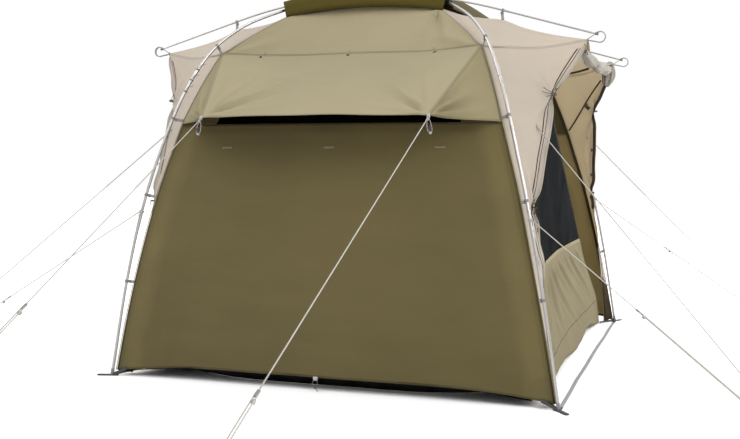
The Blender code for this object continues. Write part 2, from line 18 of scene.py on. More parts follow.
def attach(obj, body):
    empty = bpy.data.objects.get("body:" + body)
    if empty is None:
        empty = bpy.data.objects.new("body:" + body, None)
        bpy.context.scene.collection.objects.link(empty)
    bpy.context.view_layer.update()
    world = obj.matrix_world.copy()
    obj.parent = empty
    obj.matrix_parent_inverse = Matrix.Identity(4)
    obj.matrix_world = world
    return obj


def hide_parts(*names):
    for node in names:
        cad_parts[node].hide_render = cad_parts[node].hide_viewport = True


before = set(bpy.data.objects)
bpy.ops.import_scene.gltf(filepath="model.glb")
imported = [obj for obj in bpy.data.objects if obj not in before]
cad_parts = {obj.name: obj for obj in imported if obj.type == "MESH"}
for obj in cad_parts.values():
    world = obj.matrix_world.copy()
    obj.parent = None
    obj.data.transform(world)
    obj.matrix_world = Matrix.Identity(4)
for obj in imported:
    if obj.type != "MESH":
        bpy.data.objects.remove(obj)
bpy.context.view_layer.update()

# %% [markdown]
# ## The camera
# The photo was taken from the front, a little to the right, by an eye at chest height. The
# camera's place and angles come from the tent's own symmetry: both pole arches, the four feet
# and the guy points are mirror pairs, which fixes the eye and the focal length.

# %% Camera
PHOTO_WIDTH = 740
FOCAL_PIXELS = 1022.56
SENSOR_MM = 36.0
EYE = (1.953, -6.450, 1.228)
YAW = math.radians(18.588)
PITCH = math.radians(-3.387)
ROLL = math.radians(0.181)

ahead = Vector((-math.sin(YAW) * math.cos(PITCH), math.cos(YAW) * math.cos(PITCH), math.sin(PITCH)))
level_right = Vector((math.cos(YAW), math.sin(YAW), 0.0))
level_up = level_right.cross(ahead)
to_right = level_right * math.cos(ROLL) + level_up * math.sin(ROLL)
to_top = level_up * math.cos(ROLL) - level_right * math.sin(ROLL)

camera_data = bpy.data.cameras.new("photo_camera")
camera_data.sensor_width = SENSOR_MM
camera_data.lens = FOCAL_PIXELS / PHOTO_WIDTH * SENSOR_MM
camera = bpy.data.objects.new("photo_camera", camera_data)
camera.matrix_world = Matrix.Translation(EYE) @ Matrix((to_right, to_top, -ahead)).transposed().to_4x4()
bpy.context.scene.collection.objects.link(camera)
bpy.context.scene.camera = camera
print("The lens is", round(camera_data.lens, 1), "mm")

# %% [markdown]
# ## Light and floor
# The photo is a soft studio picture on white. A pale floor and a bright, even sky give that
# light. The sky is brighter overhead, as under a large lamp, so that the roof and the hood are
# paler than the walls. Three large lamps add a soft direction, which shows the folds.

# %% Small helpers for shader nodes
def add_node(tree, kind, inputs=None, **settings):
    """A shader node with its settings, whose inputs take numbers, colours or other sockets."""
    made = tree.nodes.new(kind)
    for key, value in settings.items():
        setattr(made, key, value)
    for key, value in (inputs or {}).items():
        if isinstance(value, bpy.types.NodeSocket):
            tree.links.new(value, made.inputs[key])
        else:
            made.inputs[key].default_value = value
    return made


# %% Sky, lamps and floor
bpy.context.scene.view_settings.view_transform = "Standard"
SKY_SIDE = 1.0
SKY_TOP = 2.15
FLOOR_HALF = 30.0
FLOOR_Z = -0.0006

world = bpy.data.worlds.new("studio")
world.use_nodes = True
bpy.context.scene.world = world
sky_tree = world.node_tree
sky_place = add_node(sky_tree, "ShaderNodeTexCoord")
sky_axes = add_node(sky_tree, "ShaderNodeSeparateXYZ", {"Vector": sky_place.outputs["Generated"]})
sky_rise = add_node(sky_tree, "ShaderNodeMapRange", {"Value": sky_axes.outputs["Z"], "From Min": 0.35,
                    "From Max": 0.95, "To Min": SKY_SIDE, "To Max": SKY_TOP})
sky_light = sky_tree.nodes["Background"]
sky_light.inputs["Color"].default_value = (1.0, 1.0, 1.0, 1.0)
sky_tree.links.new(sky_rise.outputs["Result"], sky_light.inputs["Strength"])


def add_lamp(name, place, aim, size, watts):
    """A square soft lamp at a place, turned to shine at another."""
    data = bpy.data.lights.new(name, "AREA")
    data.shape = "SQUARE"
    data.size = size
    data.energy = watts
    lamp = bpy.data.objects.new(name, data)
    lamp.location = place
    lamp.rotation_euler = (Vector(aim) - Vector(place)).to_track_quat("-Z", "Y").to_euler()
    bpy.context.scene.collection.objects.link(lamp)
    return lamp


add_lamp("lamp_left", (-7.0, -3.5, 6.5), (0.0, 0.0, 1.2), 4.0, 260.0)
add_lamp("lamp_right", (6.0, -6.0, 5.0), (0.0, 0.0, 1.0), 3.0, 310.0)
add_lamp("lamp_back", (6.5, 6.5, 4.5), (0.6, 0.8, 1.0), 4.0, 650.0)

floor_mesh = bpy.data.meshes.new("floor")
corners = [(x * FLOOR_HALF, y * FLOOR_HALF, FLOOR_Z) for x, y in ((-1, -1), (1, -1), (1, 1), (-1, 1))]
floor_mesh.from_pydata(corners, [], [(0, 1, 2, 3)])
floor = bpy.data.objects.new("floor", floor_mesh)
bpy.context.scene.collection.objects.link(floor)
floor_paint = bpy.data.materials.new("floor_paint")
floor_paint.use_nodes = True
floor_shader = floor_paint.node_tree.nodes["Principled BSDF"]
floor_shader.inputs["Base Color"].default_value = (0.80, 0.80, 0.80, 1.0)
floor_shader.inputs["Roughness"].default_value = 0.9
floor_mesh.materials.append(floor_paint)
print("Floor and lamps are in place")

# %% [markdown]
# ## Cloth, net, metal and cord
# The walls are a plain weave of dull thread. Close up its threads show, from far off only a
# faint cloud of lighter and darker cloth does, and light comes through it from behind. So the
# cloth's material has a weave along the sheet's own UV map, which counts metres, a slow
# cloud of colour in object space, and a share of its light goes through to the other side.

# %% Helpers for materials
THREAD = 0.0011
HEM_WIDE = 0.013
STITCH_IN = 0.0085
STITCH_PITCH = 0.006


def new_material(name, roughness, metallic=0.0):
    """An empty Principled material: its node tree, its shader, and its UV and object places."""
    material = bpy.data.materials.new(name)
    material.use_nodes = True
    tree = material.node_tree
    shader = tree.nodes["Principled BSDF"]
    shader.inputs["Roughness"].default_value = roughness
    shader.inputs["Metallic"].default_value = metallic
    places = add_node(tree, "ShaderNodeTexCoord").outputs
    return material, tree, shader, places["UV"], places["Object"]


def line_wave(tree, place, pitch, direction):
    """A wave of even lines, one line for each pitch in metres of the given coordinates."""
    inputs = {"Vector": place, "Scale": 2 * math.pi / 20 / pitch}
    return add_node(tree, "ShaderNodeTexWave", inputs, bands_direction=direction).outputs["Fac"]


def noise(tree, place, scale, detail=2.0):
    """Cloudy noise at a place, with values round a half."""
    inputs = {"Vector": place, "Scale": scale, "Detail": detail}
    return add_node(tree, "ShaderNodeTexNoise", inputs).outputs["Fac"]


def remapped(tree, place, scale=(1.0, 1.0, 1.0), turn=(0.0, 0.0, 0.0)):
    """Coordinates scaled and turned."""
    inputs = {"Vector": place, "Scale": scale, "Rotation": turn}
    return add_node(tree, "ShaderNodeMapping", inputs).outputs["Vector"]


def bumped(tree, height, distance, strength, under=None):
    """The normal that a height gives, over another normal where there is one."""
    inputs = {"Height": height, "Distance": distance, "Strength": strength}
    if under is not None:
        inputs["Normal"] = under
    return add_node(tree, "ShaderNodeBump", inputs).outputs["Normal"]


def ranged(tree, value, low, high, start=0.0, end=1.0):
    """A value moved from the range start to end into the range low to high."""
    inputs = {"Value": value, "From Min": start, "From Max": end, "To Min": low, "To Max": high}
    return add_node(tree, "ShaderNodeMapRange", inputs).outputs["Result"]


def worked(tree, operation, *values):
    """The answer of a math node for one to three numbers or sockets."""
    return add_node(tree, "ShaderNodeMath", dict(enumerate(values)), operation=operation).outputs["Value"]


def tinted(tree, colour, factors):
    """A colour multiplied by one or more grey factors."""
    for factor in factors:
        made = add_node(tree, "ShaderNodeVectorMath", {0: colour, 1: factor}, operation="MULTIPLY")
        colour = made.outputs[0]
    return colour


def linked(tree, shader, sources):
    """Link each named socket of a shader to its source."""
    for name, source in sources.items():
        tree.links.new(source, shader.inputs[name])


def mixed(tree, share, first, second):
    """Send a mix of two shaders to the surface."""
    blend = add_node(tree, "ShaderNodeMixShader", {"Fac": share, 1: first.outputs["BSDF"],
                     2: second.outputs["BSDF"]})
    tree.links.new(blend.outputs["Shader"], tree.nodes["Material Output"].inputs["Surface"])


# %% Hems and bands
def edge_distances(tree):
    """How far a place on a sheet is from its nearer side and from its nearer end, in metres."""
    edges = add_node(tree, "ShaderNodeUVMap", uv_map="edges")
    parts = add_node(tree, "ShaderNodeSeparateXYZ", {"Vector": edges.outputs["UV"]})
    return parts.outputs["X"], parts.outputs["Y"]


def hem_tones(tree, uv, to_side, to_end):
    """Tones of a hem: the doubled cloth is a little darker and has one row of dashed stitches."""
    near = worked(tree, "MINIMUM", to_side, to_end)
    doubled = ranged(tree, near, 0.88, 1.0, HEM_WIDE - 0.0008, HEM_WIDE + 0.0008)
    off_line = worked(tree, "ABSOLUTE", worked(tree, "SUBTRACT", near, STITCH_IN))
    on_line = ranged(tree, off_line, 1.0, 0.0, 0.0004, 0.0011)
    dashes = line_wave(tree, uv, STITCH_PITCH / 2, "DIAGONAL")
    thread = worked(tree, "MULTIPLY", on_line, ranged(tree, dashes, 0.0, 1.0, 0.35, 0.45))
    return doubled, ranged(tree, thread, 1.0, 0.68), thread


def band_tones(tree, uv, spot, to_side, to_end):
    """Tones of the olive wall: a doubled strip, painted light in a band at each side seam, corner patches.

    Slow noise moves the borders of the light band and of the patches a little.
    """
    sway = noise(tree, spot, 7.0, 3.0)
    moved = worked(tree, "ADD", to_side, ranged(tree, sway, -0.014, 0.014, 0.3, 0.7))
    doubled = ranged(tree, to_side, 0.93, 1.0, 0.034, 0.039)
    # Painted light: the wall is drawn up to a fifth lighter near each side seam.
    lighter = ranged(tree, moved, 1.22, 1.0, 0.095, 0.170)
    squares = [worked(tree, "MULTIPLY", far, far) for far in (to_side, to_end)]
    from_corner = worked(tree, "SQRT", worked(tree, "ADD", *squares))
    swayed = worked(tree, "ADD", from_corner, ranged(tree, sway, -0.012, 0.012))
    in_patch = ranged(tree, swayed, 0.94, 1.0, 0.128, 0.140)
    down = add_node(tree, "ShaderNodeSeparateXYZ", {"Vector": uv})
    patch = worked(tree, "MAXIMUM", in_patch, ranged(tree, down.outputs["Y"], 1.0, 0.0, 0.7, 0.71))
    slant = noise(tree, remapped(tree, spot, (1.1, 1.0, 4.5), (0.0, 0.62, 0.0)), 1.3)
    return doubled, lighter, patch, ranged(tree, slant, 0.97, 1.03, 0.35, 0.65)


# %% Cloth material
def cloth(name, colour, glow_colour, through, cloud_share=0.05, banded=False, gloss=1.0):
    """Woven cloth: crossed warp and weft, a slow cloud of tone, stitched hems, and light from behind.

    Light that comes through thin cloth is stronger and warmer than the light that it throws
    back, so the glow has a colour of its own.
    """
    material, tree, shader, uv, spot = new_material(name, 0.88)
    shader.inputs["Sheen Weight"].default_value = 0.06 * gloss
    shader.inputs["Sheen Roughness"].default_value = 0.6
    shader.inputs["Specular IOR Level"].default_value = 0.20 * gloss
    weave = worked(tree, "MULTIPLY", line_wave(tree, uv, THREAD, "X"), line_wave(tree, uv, THREAD, "Y"))
    cloud = noise(tree, spot, 1.6, 3.0)
    streak = noise(tree, remapped(tree, uv, (4.0, 260.0, 1.0)), 1.0)
    to_side, to_end = edge_distances(tree)
    doubled, stitched, thread = hem_tones(tree, uv, to_side, to_end)
    factors = [ranged(tree, cloud, 1.0 - cloud_share, 1.0 + cloud_share, 0.3, 0.7),
               ranged(tree, streak, 0.975, 1.025, 0.3, 0.7), ranged(tree, weave, 0.9, 1.08),
               doubled, stitched]
    # On the olive wall these bands hold a painted band of light at each side seam.
    if banded:
        factors += band_tones(tree, uv, spot, to_side, to_end)
    height = worked(tree, "SUBTRACT", weave, worked(tree, "MULTIPLY", thread, 2.0))
    crumpled = bumped(tree, noise(tree, spot, 9.0, 4.0), 0.005, 0.3)
    normal = bumped(tree, height, 0.0003, 0.2, crumpled)
    linked(tree, shader, {"Base Color": tinted(tree, colour, factors), "Normal": normal})
    glow_shade = tinted(tree, glow_colour, factors)
    glow = add_node(tree, "ShaderNodeBsdfTranslucent", {"Color": glow_shade, "Normal": normal})
    mixed(tree, through, shader, glow)
    return material


BEIGE = cloth("beige_cloth", (0.428, 0.385, 0.342), (0.92, 0.81, 0.58), 0.38)
# Painted shade: the rolled door is a darker, greyer copy of the beige, for the shade in its folds.
SHADED_ROLL_BEIGE = cloth("rolled_cloth_painted_shade", (0.300, 0.275, 0.235), (0.40, 0.34, 0.24), 0.22)
KHAKI = cloth("khaki_cloth", (0.325, 0.286, 0.182), (0.60, 0.50, 0.30), 0.36)
# Painted shade: the gussets get a darker copy of the khaki, for the shade on their side facets.
SHADED_GUSSET_KHAKI = cloth("gusset_cloth_painted_shade", (0.275, 0.238, 0.135), (0.50, 0.41, 0.22), 0.36)
SIDE_KHAKI = cloth("side_khaki_cloth", (0.222, 0.186, 0.096), (0.38, 0.31, 0.16), 0.36)
OLIVE = cloth("olive_cloth", (0.120, 0.098, 0.040), (0.48, 0.41, 0.26), 0.38, 0.04, True)
# Painted shade: the wall behind the hood is a darker, nearly opaque copy of the olive, for the hood's shade.
SHADED_UPPER_OLIVE = cloth("upper_wall_cloth", (0.080, 0.064, 0.024), (0.035, 0.024, 0.008), 0.20)
# Partly painted shade: the cap's dark olive is made darker still, for the shade on its valance.
CAP_OLIVE_AND_SHADE = cloth("cap_cloth_and_painted_shade", (0.076, 0.058, 0.006), (0.11, 0.085, 0.01), 0.30)
# Partly painted shade: the skirt is drawn nearly black and dull, for the dark inside of the tent under the
# hem.
SKIRT = cloth("skirt_cloth_painted_shade", (0.0035, 0.003, 0.003), (0.002, 0.002, 0.002), 0.03, gloss=0.1)
# Partly painted shade: the corner flap's dark brown stands for the shade low inside the corners.
LINING = cloth("corner_lining_cloth", (0.040, 0.026, 0.013), (0.10, 0.06, 0.03), 0.25, gloss=0.3)

# %% [markdown]
# The net of the doors and of the vents is black mosquito net, and the roof's is khaki. The vents'
# net is drawn darker still, as painted shade under the hood. Its holes are smaller than a pixel,
# so they are cut by the material: a transparent shader shows through where two crossed waves are
# both high.

# %% Net material
NET_PITCH = 0.0016


def net(name, colour, hole_above):
    """Net: a grid of threads along the sheet's UV map with clear holes, and a bound border."""
    material, tree, shader, uv, spot = new_material(name, 0.8)
    shader.inputs["Specular IOR Level"].default_value = 0.0
    threads = [line_wave(tree, uv, NET_PITCH, direction) for direction in "XY"]
    is_open = worked(tree, "GREATER_THAN", worked(tree, "MULTIPLY", *threads), hole_above)
    inside = worked(tree, "GREATER_THAN", worked(tree, "MINIMUM", *edge_distances(tree)), HEM_WIDE)
    cloud = noise(tree, spot, 4.0, 3.0)
    shade = tinted(tree, colour, [ranged(tree, cloud, 0.75, 1.35, 0.3, 0.7)])
    linked(tree, shader, {"Base Color": shade, "Normal": bumped(tree, cloud, 0.02, 0.4)})
    clear = add_node(tree, "ShaderNodeBsdfTransparent")
    mixed(tree, worked(tree, "MULTIPLY", is_open, inside), shader, clear)
    return material


NET = net("black_net", (0.013, 0.0135, 0.014), 0.90)
# Painted shade: the vent's net is far darker than the doors', for the shade under the hood.
SHADED_VENT_NET = net("vent_net_painted_shade", (0.0015, 0.0015, 0.0015), 0.88)
ROOF_NET = net("roof_net", (0.22, 0.19, 0.11), 0.80)

# %% [markdown]
# The poles are anodised aluminium tube: bright, a little brushed along their length and duller
# where hands and sleeves have rubbed. Plastic clips, webbing, cord and the steel pegs each get
# a small material of their own.

# %% Metal, plastic, webbing and cord
def metal(name, colour, roughness, brushed=1.0):
    """Metal with fine lines along its length and small cloudy changes in its gloss."""
    material, tree, shader, uv, spot = new_material(name, roughness, 1.0)
    shader.inputs["Base Color"].default_value = (*colour, 1.0)
    lines = noise(tree, remapped(tree, uv, (6.0, 3000.0, 1.0)), 1.0)
    gloss = ranged(tree, noise(tree, spot, 14.0, 4.0), roughness - 0.08, roughness + 0.14, 0.3, 0.7)
    linked(tree, shader, {"Roughness": gloss, "Normal": bumped(tree, lines, 0.0002, 0.3 * brushed)})
    return material


def plastic(name, colour, roughness):
    """Moulded plastic with a fine grain."""
    material, tree, shader, uv, spot = new_material(name, roughness)
    shader.inputs["Base Color"].default_value = (*colour, 1.0)
    linked(tree, shader, {"Normal": bumped(tree, noise(tree, spot, 900.0), 0.0003, 0.3)})
    return material


def webbing(name, colour):
    """Flat webbing in the tape's UV map: ribs across it, crossed by the lines of its warp."""
    material, tree, shader, uv, spot = new_material(name, 0.85)
    shader.inputs["Sheen Weight"].default_value = 0.03
    shader.inputs["Specular IOR Level"].default_value = 0.15
    ribs = line_wave(tree, uv, 0.0018, "Y")
    warp = line_wave(tree, uv, 0.0024, "X")
    shade = tinted(tree, colour, [ranged(tree, ribs, 0.82, 1.08), ranged(tree, warp, 0.92, 1.04)])
    linked(tree, shader, {"Base Color": shade, "Normal": bumped(tree, ribs, 0.0005, 0.6)})
    return material


def braid(name, colour, fleck):
    """Braided cord: two crossed sets of slanting lines in the cord's UV map, with a fleck yarn."""
    material, tree, shader, uv, spot = new_material(name, 0.75)
    turned = [remapped(tree, uv, turn=(0, 0, angle)) for angle in (0.75, -0.75)]
    strands = worked(tree, "MAXIMUM", *[line_wave(tree, side, 0.0016, "X") for side in turned])
    is_mark = ranged(tree, line_wave(tree, turned[0], 0.0096, "X"), 0.0, 1.0, 0.9, 0.94)
    yarns = {"Factor": is_mark, "A": (*colour, 1.0), "B": (*fleck, 1.0)}
    shade = add_node(tree, "ShaderNodeMix", yarns, data_type="RGBA").outputs["Result"]
    linked(tree, shader, {"Base Color": shade, "Normal": bumped(tree, strands, 0.0004, 0.7)})
    return material


SILVER = metal("pole_silver", (0.36, 0.35, 0.345), 0.30)
STEEL = metal("peg_steel", (0.30, 0.30, 0.31), 0.38, 0.5)
CLIP_GREY = plastic("clip_plastic", (0.110, 0.108, 0.112), 0.45)
TOGGLE_BROWN = plastic("toggle_plastic", (0.030, 0.024, 0.018), 0.40)
TOGGLE_BLACK = plastic("buckle_plastic", (0.016, 0.016, 0.018), 0.35)
WEB_LIGHT = webbing("ground_webbing", (0.27, 0.27, 0.275))
WEB_DARK = webbing("foot_webbing", (0.050, 0.050, 0.053))
WEB_GREY = webbing("strap_webbing", (0.24, 0.235, 0.235))
WEB_PALE = webbing("tab_webbing", (0.33, 0.31, 0.32))
WEB_BEIGE = webbing("beige_webbing", (0.33, 0.285, 0.23))
WEB_KHAKI = webbing("khaki_webbing", (0.24, 0.20, 0.115))
# Painted light: a pale olive for the three faint light spots on the end walls.
WEB_OLIVE_LIGHT_SPOTS = webbing("olive_light_spot_webbing", (0.135, 0.115, 0.068))
BINDING = webbing("dark_binding", (0.040, 0.025, 0.012))
CORD = braid("guy_cord", (0.31, 0.30, 0.27), (0.18, 0.17, 0.155))
CORD_DARK = braid("shock_cord", (0.060, 0.052, 0.046), (0.16, 0.15, 0.14))
print("Made", len(bpy.data.materials), "materials")

# %% [markdown]
# ## Curves and surfaces
# A few rules make all the shapes. A smooth curve goes through measured places. A net of such
# places becomes a fine sheet when the curve rule is used along its rows and then along its
# columns. A rod, tape or hook is one outline carried along a path.

# %% Curves and fine nets
def unit(vectors):
    """Vectors scaled to length one."""
    vectors = np.asarray(vectors, float)
    return vectors / np.maximum(np.linalg.norm(vectors, axis=-1, keepdims=True), 1e-9)


def smooth(points, count):
    """Places at even steps of length on a curve through the points.

    Between two points runs a cubic whose end slopes are those of the chord of their
    neighbours, so the curve passes through every point.
    """
    p = np.asarray(points, float)
    lengths = np.concatenate([[0], np.cumsum(np.linalg.norm(np.diff(p, axis=0), axis=1))])
    slopes = np.gradient(p, lengths, axis=0)
    at = np.linspace(0, lengths[-1], count)
    k = np.clip(np.searchsorted(lengths, at, side="right") - 1, 0, len(p) - 2)
    span = (lengths[k + 1] - lengths[k])[:, None]
    t = (at[:, None] - lengths[k][:, None]) / span
    h00 = 2 * t ** 3 - 3 * t ** 2 + 1
    h10 = t ** 3 - 2 * t ** 2 + t
    h01 = -2 * t ** 3 + 3 * t ** 2
    h11 = t ** 3 - t ** 2
    return h00 * p[k] + h10 * span * slopes[k] + h01 * p[k + 1] + h11 * span * slopes[k + 1]


def finer(rows, times):
    """A net with each step along its first axis cut into several, on a smooth curve.

    A new place between p1 and p2 is ½(2p1 + (p2 − p0)t + (2p0 − 5p1 + 4p2 − p3)t²
    + (3p1 − p0 − 3p2 + p3)t³), where p0 and p3 are the places before and after.
    """
    p = np.concatenate([[2 * rows[0] - rows[1]], rows, [2 * rows[-1] - rows[-2]]])
    steps = (len(rows) - 1) * times
    at = np.arange(steps + 1) / times
    k = np.minimum(at.astype(int), len(rows) - 2)
    t = (at - k).reshape(-1, *[1] * (rows.ndim - 1))
    p0, p1, p2, p3 = p[k], p[k + 1], p[k + 2], p[k + 3]
    return 0.5 * (2 * p1 + (p2 - p0) * t + (2 * p0 - 5 * p1 + 4 * p2 - p3) * t ** 2
                  + (3 * p1 - p0 - 3 * p2 + p3) * t ** 3)


def fine_sheet(net_places, down, across):
    """A coarse net of places made finer along both its axes."""
    rows = finer(net_places, down)
    return finer(rows.transpose(1, 0, 2), across).transpose(1, 0, 2)


def ruled(left, right, across):
    """A surface of straight lines between two curves with the same number of points."""
    t = np.linspace(0, 1, across)[None, :, None]
    return left[:, None] * (1 - t) + right[:, None] * t


def mirrored(points, signs):
    """Places of the front right quarter moved to another quarter."""
    return np.asarray(points, float) * (*signs, 1)


# %% Shells: arrays of places, faces and UV that are joined into one mesh
def grid_shell(grid, round_it=False):
    """Faces and UV maps in metres for a grid of places, closed round its second axis if asked.

    The first UV map counts metres along the rows and down the columns. The second holds how far
    a place is from the nearer side and from the nearer end, and a metre more on closed shapes.
    """
    rows, columns = grid.shape[:2]
    loop = np.concatenate([grid, grid[:, :1]], 1) if round_it else grid
    number = np.arange(rows * columns).reshape(rows, columns)
    loop_number = np.concatenate([number, number[:, :1]], 1) if round_it else number
    steps_u = np.linalg.norm(np.diff(loop, axis=1), axis=2)
    steps_v = np.linalg.norm(np.diff(loop, axis=0), axis=2)
    u = np.concatenate([np.zeros((rows, 1)), np.cumsum(steps_u, 1)], 1)
    v = np.concatenate([np.zeros((1, loop.shape[1])), np.cumsum(steps_v, 0)], 0)
    corners = [(slice(None, -1), slice(None, -1)), (slice(None, -1), slice(1, None)),
               (slice(1, None), slice(1, None)), (slice(1, None), slice(None, -1))]
    faces = np.stack([loop_number[c] for c in corners], -1).reshape(-1, 4)
    to_side = np.minimum(u, u[:, -1:] - u) + round_it
    to_end = np.minimum(v, v[-1:] - v) + round_it
    uv = np.stack([np.stack([u[c], v[c], to_side[c], to_end[c]], -1) for c in corners], -2).reshape(-1, 4, 4)
    return grid.reshape(-1, 3), faces, uv


def turned_over(shell):
    """The same shell with its faces turned the other way."""
    places, faces, uv = shell
    return places, faces[:, ::-1], uv[:, ::-1]


def moved_to(shell, signs):
    """A shell of the front right quarter moved to another, with its faces kept pointing out."""
    places, faces, uv = shell
    moved = (mirrored(places, signs), faces, uv)
    return turned_over(moved) if signs[0] * signs[1] < 0 else moved


def placed(shell, middle, axes):
    """A shell made at the origin, with its x, y and z turned to three square directions and moved."""
    places, faces, uv = shell
    return middle + places @ axes, faces, uv


def square_axes(along, up=(0, 0, 1)):
    """Three square directions: the first one along, the third as near to up as it can be."""
    first = unit(along)
    third = unit(up - first * (first @ up))
    return np.stack([first, np.cross(third, first), third])


def build(name, shells, finish, thick=0.0, merge=0.00002):
    """One object from one or more shells, riding on the tent, with Solidify where it is thin."""
    offsets = np.cumsum([0] + [len(s[0]) for s in shells])
    places = np.concatenate([s[0] for s in shells])
    faces = np.concatenate([s[1] + offset for s, offset in zip(shells, offsets)])
    uv = np.concatenate([s[2] for s in shells])
    mesh = bpy.data.meshes.new(name)
    mesh.vertices.add(len(places))
    mesh.vertices.foreach_set("co", places.astype(np.float32).ravel())
    mesh.loops.add(faces.size)
    mesh.loops.foreach_set("vertex_index", faces.astype(np.int32).ravel())
    mesh.polygons.add(len(faces))
    mesh.polygons.foreach_set("loop_start", np.arange(0, faces.size, 4, dtype=np.int32))
    mesh.polygons.foreach_set("use_smooth", np.ones(len(faces), bool))
    for layer, part in (("metres", uv[..., :2]), ("edges", uv[..., 2:])):
        mesh.uv_layers.new(name=layer)
        mesh.uv_layers[layer].data.foreach_set("uv", part.astype(np.float32).ravel())
    mesh.update(calc_edges=True)
    bm = bmesh.new()
    bm.from_mesh(mesh)
    bmesh.ops.remove_doubles(bm, verts=bm.verts, dist=merge)
    bmesh.ops.dissolve_degenerate(bm, edges=bm.edges, dist=merge)
    bm.to_mesh(mesh)
    bm.free()
    mesh.materials.append(finish)
    piece = bpy.data.objects.new(name, mesh)
    bpy.context.scene.collection.objects.link(piece)
    if thick:
        shell = piece.modifiers.new("Cloth", "SOLIDIFY")
        shell.thickness = thick
        shell.offset = 0.0
    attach(piece, "root")
    return piece


def stand_in(solid, ending, shells, finish, thick=0.0):
    """A piece that takes the place of a solid, under the solid's name with an ending."""
    piece = build(solid + ending, shells, finish, thick)
    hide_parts(solid)
    return piece


# %% One outline carried along a path
def circle(count):
    """A circle of radius one as an outline."""
    turn = np.linspace(0, 2 * np.pi, count, endpoint=False)
    return np.stack([np.cos(turn), np.sin(turn)], 1)


ROUND = circle(12)
FINE_ROUND = circle(20)
FLAT = np.array([(-0.5, -0.35), (-0.46, -0.5), (0.46, -0.5), (0.5, -0.35),
                 (0.5, 0.35), (0.46, 0.5), (-0.46, 0.5), (-0.5, 0.35)])


def closed_tube(path, rings):
    """A shell of rings along a path, closed at both ends on the path itself."""
    first = np.broadcast_to(path[:1, None], rings[:1].shape)
    last = np.broadcast_to(path[-1:, None], rings[-1:].shape)
    return grid_shell(np.concatenate([first, rings, last]), round_it=True)


def carried(path, guide, outline, width, height, scale=None):
    """An outline carried along a path and closed at both ends.

    At each place the outline's first axis lies along the guide, made square to the path, and
    its second axis is square to both. The ends close on their own middle.
    """
    path = np.asarray(path, float)
    along = unit(np.gradient(path, axis=0))
    guide = np.broadcast_to(guide, path.shape)
    side = unit(guide - along * (guide * along).sum(1, keepdims=True))
    lift = np.cross(along, side)
    size = np.ones(len(path)) if scale is None else scale
    reach = side[:, None] * outline[None, :, :1] * width + lift[:, None] * outline[None, :, 1:] * height
    return closed_tube(path, path[:, None] + reach * size[:, None, None])


def rod(path, radius, guide=(0, 0, 1), outline=ROUND, scale=None):
    """A round rod or cord along a path."""
    return carried(path, guide, outline, radius, radius, scale)


def tape(path, across, width, thick, scale=None):
    """A flat tape along a path, whose width lies along the across direction."""
    return carried(path, across, FLAT, width, thick, scale)


def straight(start, end, count=2):
    """Places at even steps on the line between two places."""
    t = np.linspace(0, 1, count)[:, None]
    return start * (1 - t) + end * t


def cord(start, end, radius, count=2):
    """A straight cord between two places."""
    way = np.subtract(end, start)
    guide = (0, 0, 1) if abs(way[2]) < 0.9 * np.linalg.norm(way) else (1, 0, 0)
    return rod(straight(start, end, count), radius, guide)


def pebble(size, boxy=0.5, steps=16):
    """A closed rounded block round the origin.

    x = a·c(v)·c(u), y = b·c(v)·s(u), z = h·s(v), where c and s are the cosine and the sine
    raised to the power boxy with their sign kept: one gives an egg and nought gives a box.
    """
    rise = np.linspace(-np.pi / 2, np.pi / 2, steps // 2 + 1)[:, None]
    turn = np.linspace(0, 2 * np.pi, steps, endpoint=False)[None]

    def power(value):
        return np.sign(value) * np.abs(value) ** boxy

    flat = power(np.cos(rise)) * np.ones_like(turn)
    level = power(np.sin(rise)) + 0 * turn
    grid = np.stack([flat * power(np.cos(turn)), flat * power(np.sin(turn)), level], 2)
    grid[0, :, :2] = 0
    grid[-1, :, :2] = 0
    return grid_shell(grid * np.asarray(size) / 2, round_it=True)


def ring(radius, wide, thick, outline=ROUND, steps=32):
    """A closed ring round the z axis: the outline's x lies along z and its y away from the middle."""
    turn = np.linspace(0, 2 * np.pi, steps + 1)[:, None]
    reach = radius + thick * outline[None, :, 1]
    grid = np.stack([reach * np.cos(turn), reach * np.sin(turn), wide * outline[None, :, 0] + 0 * turn], 2)
    return grid_shell(grid, round_it=True)


def coil(middle, along, wound, radius, turns=2.5):
    """A cord wound a few times round a line, as in a knot or a lashing."""
    t = np.linspace(0, 1, int(turns * 14) + 1)[:, None]
    first, second, third = square_axes(along, (0.03, 0.05, 1.0))
    angle = 2 * np.pi * turns * t
    path = middle + first * (t - 0.5) * turns * radius * 2.05
    path = path + (second * np.cos(angle) + third * np.sin(angle)) * (wound + radius)
    return rod(path, radius, first)


def knot(middle, along, radius):
    """A small overhand knot: a tight coil with a lump through it."""
    lump = placed(pebble((5.5 * radius, 3.4 * radius, 3.4 * radius), 0.8), middle, square_axes(along))
    return [lump, coil(middle, along, 1.1 * radius, radius, 2.2)]


QUARTERS = {
    "front_right": (1, 1),
    "front_left": (-1, 1),
    "rear_right": (1, -1),
    "rear_left": (-1, -1),
}
ENDS = {"front": (1, 1), "rear": (1, -1)}
SIDES = {"right": (1, 1), "left": (-1, 1)}


def everywhere(shells, places):
    """Shells of the front right quarter, copied to each of the given quarters, ends or sides."""
    return [moved_to(shell, signs) for signs in places.values() for shell in shells]


def trims(name, shells, finish, places=QUARTERS):
    """Small parts of the front right quarter made at each of the places, as one object."""
    return build(name, everywhere(shells, places), finish)


print("The shape rules are ready")

# %% [markdown]
# ## Named places
# These are real places in metres, all in the front right quarter. The other quarters mirror
# them. They are the same as the solids' places, so that the cloth hangs where the frame
# says that it does.

# %% Named places
FOOT_X = 1.2575
FOOT_Y = 1.480
RIDGE_Y = 0.7625
PEAK_X = 1.2875
PEAK_Z = 1.880
CAP_X = 0.500
CAP_Y = 0.785
APEX_Z = 2.290
EAVE_SAG = 0.075
EAVE_IN = 0.050
HEM_Z = 0.073
MAIN_POLE_R = 0.008
WING_POLE_R = 0.0055
GUY_R = 0.0027
CLOTH_T = 0.0009
NET_T = 0.0005

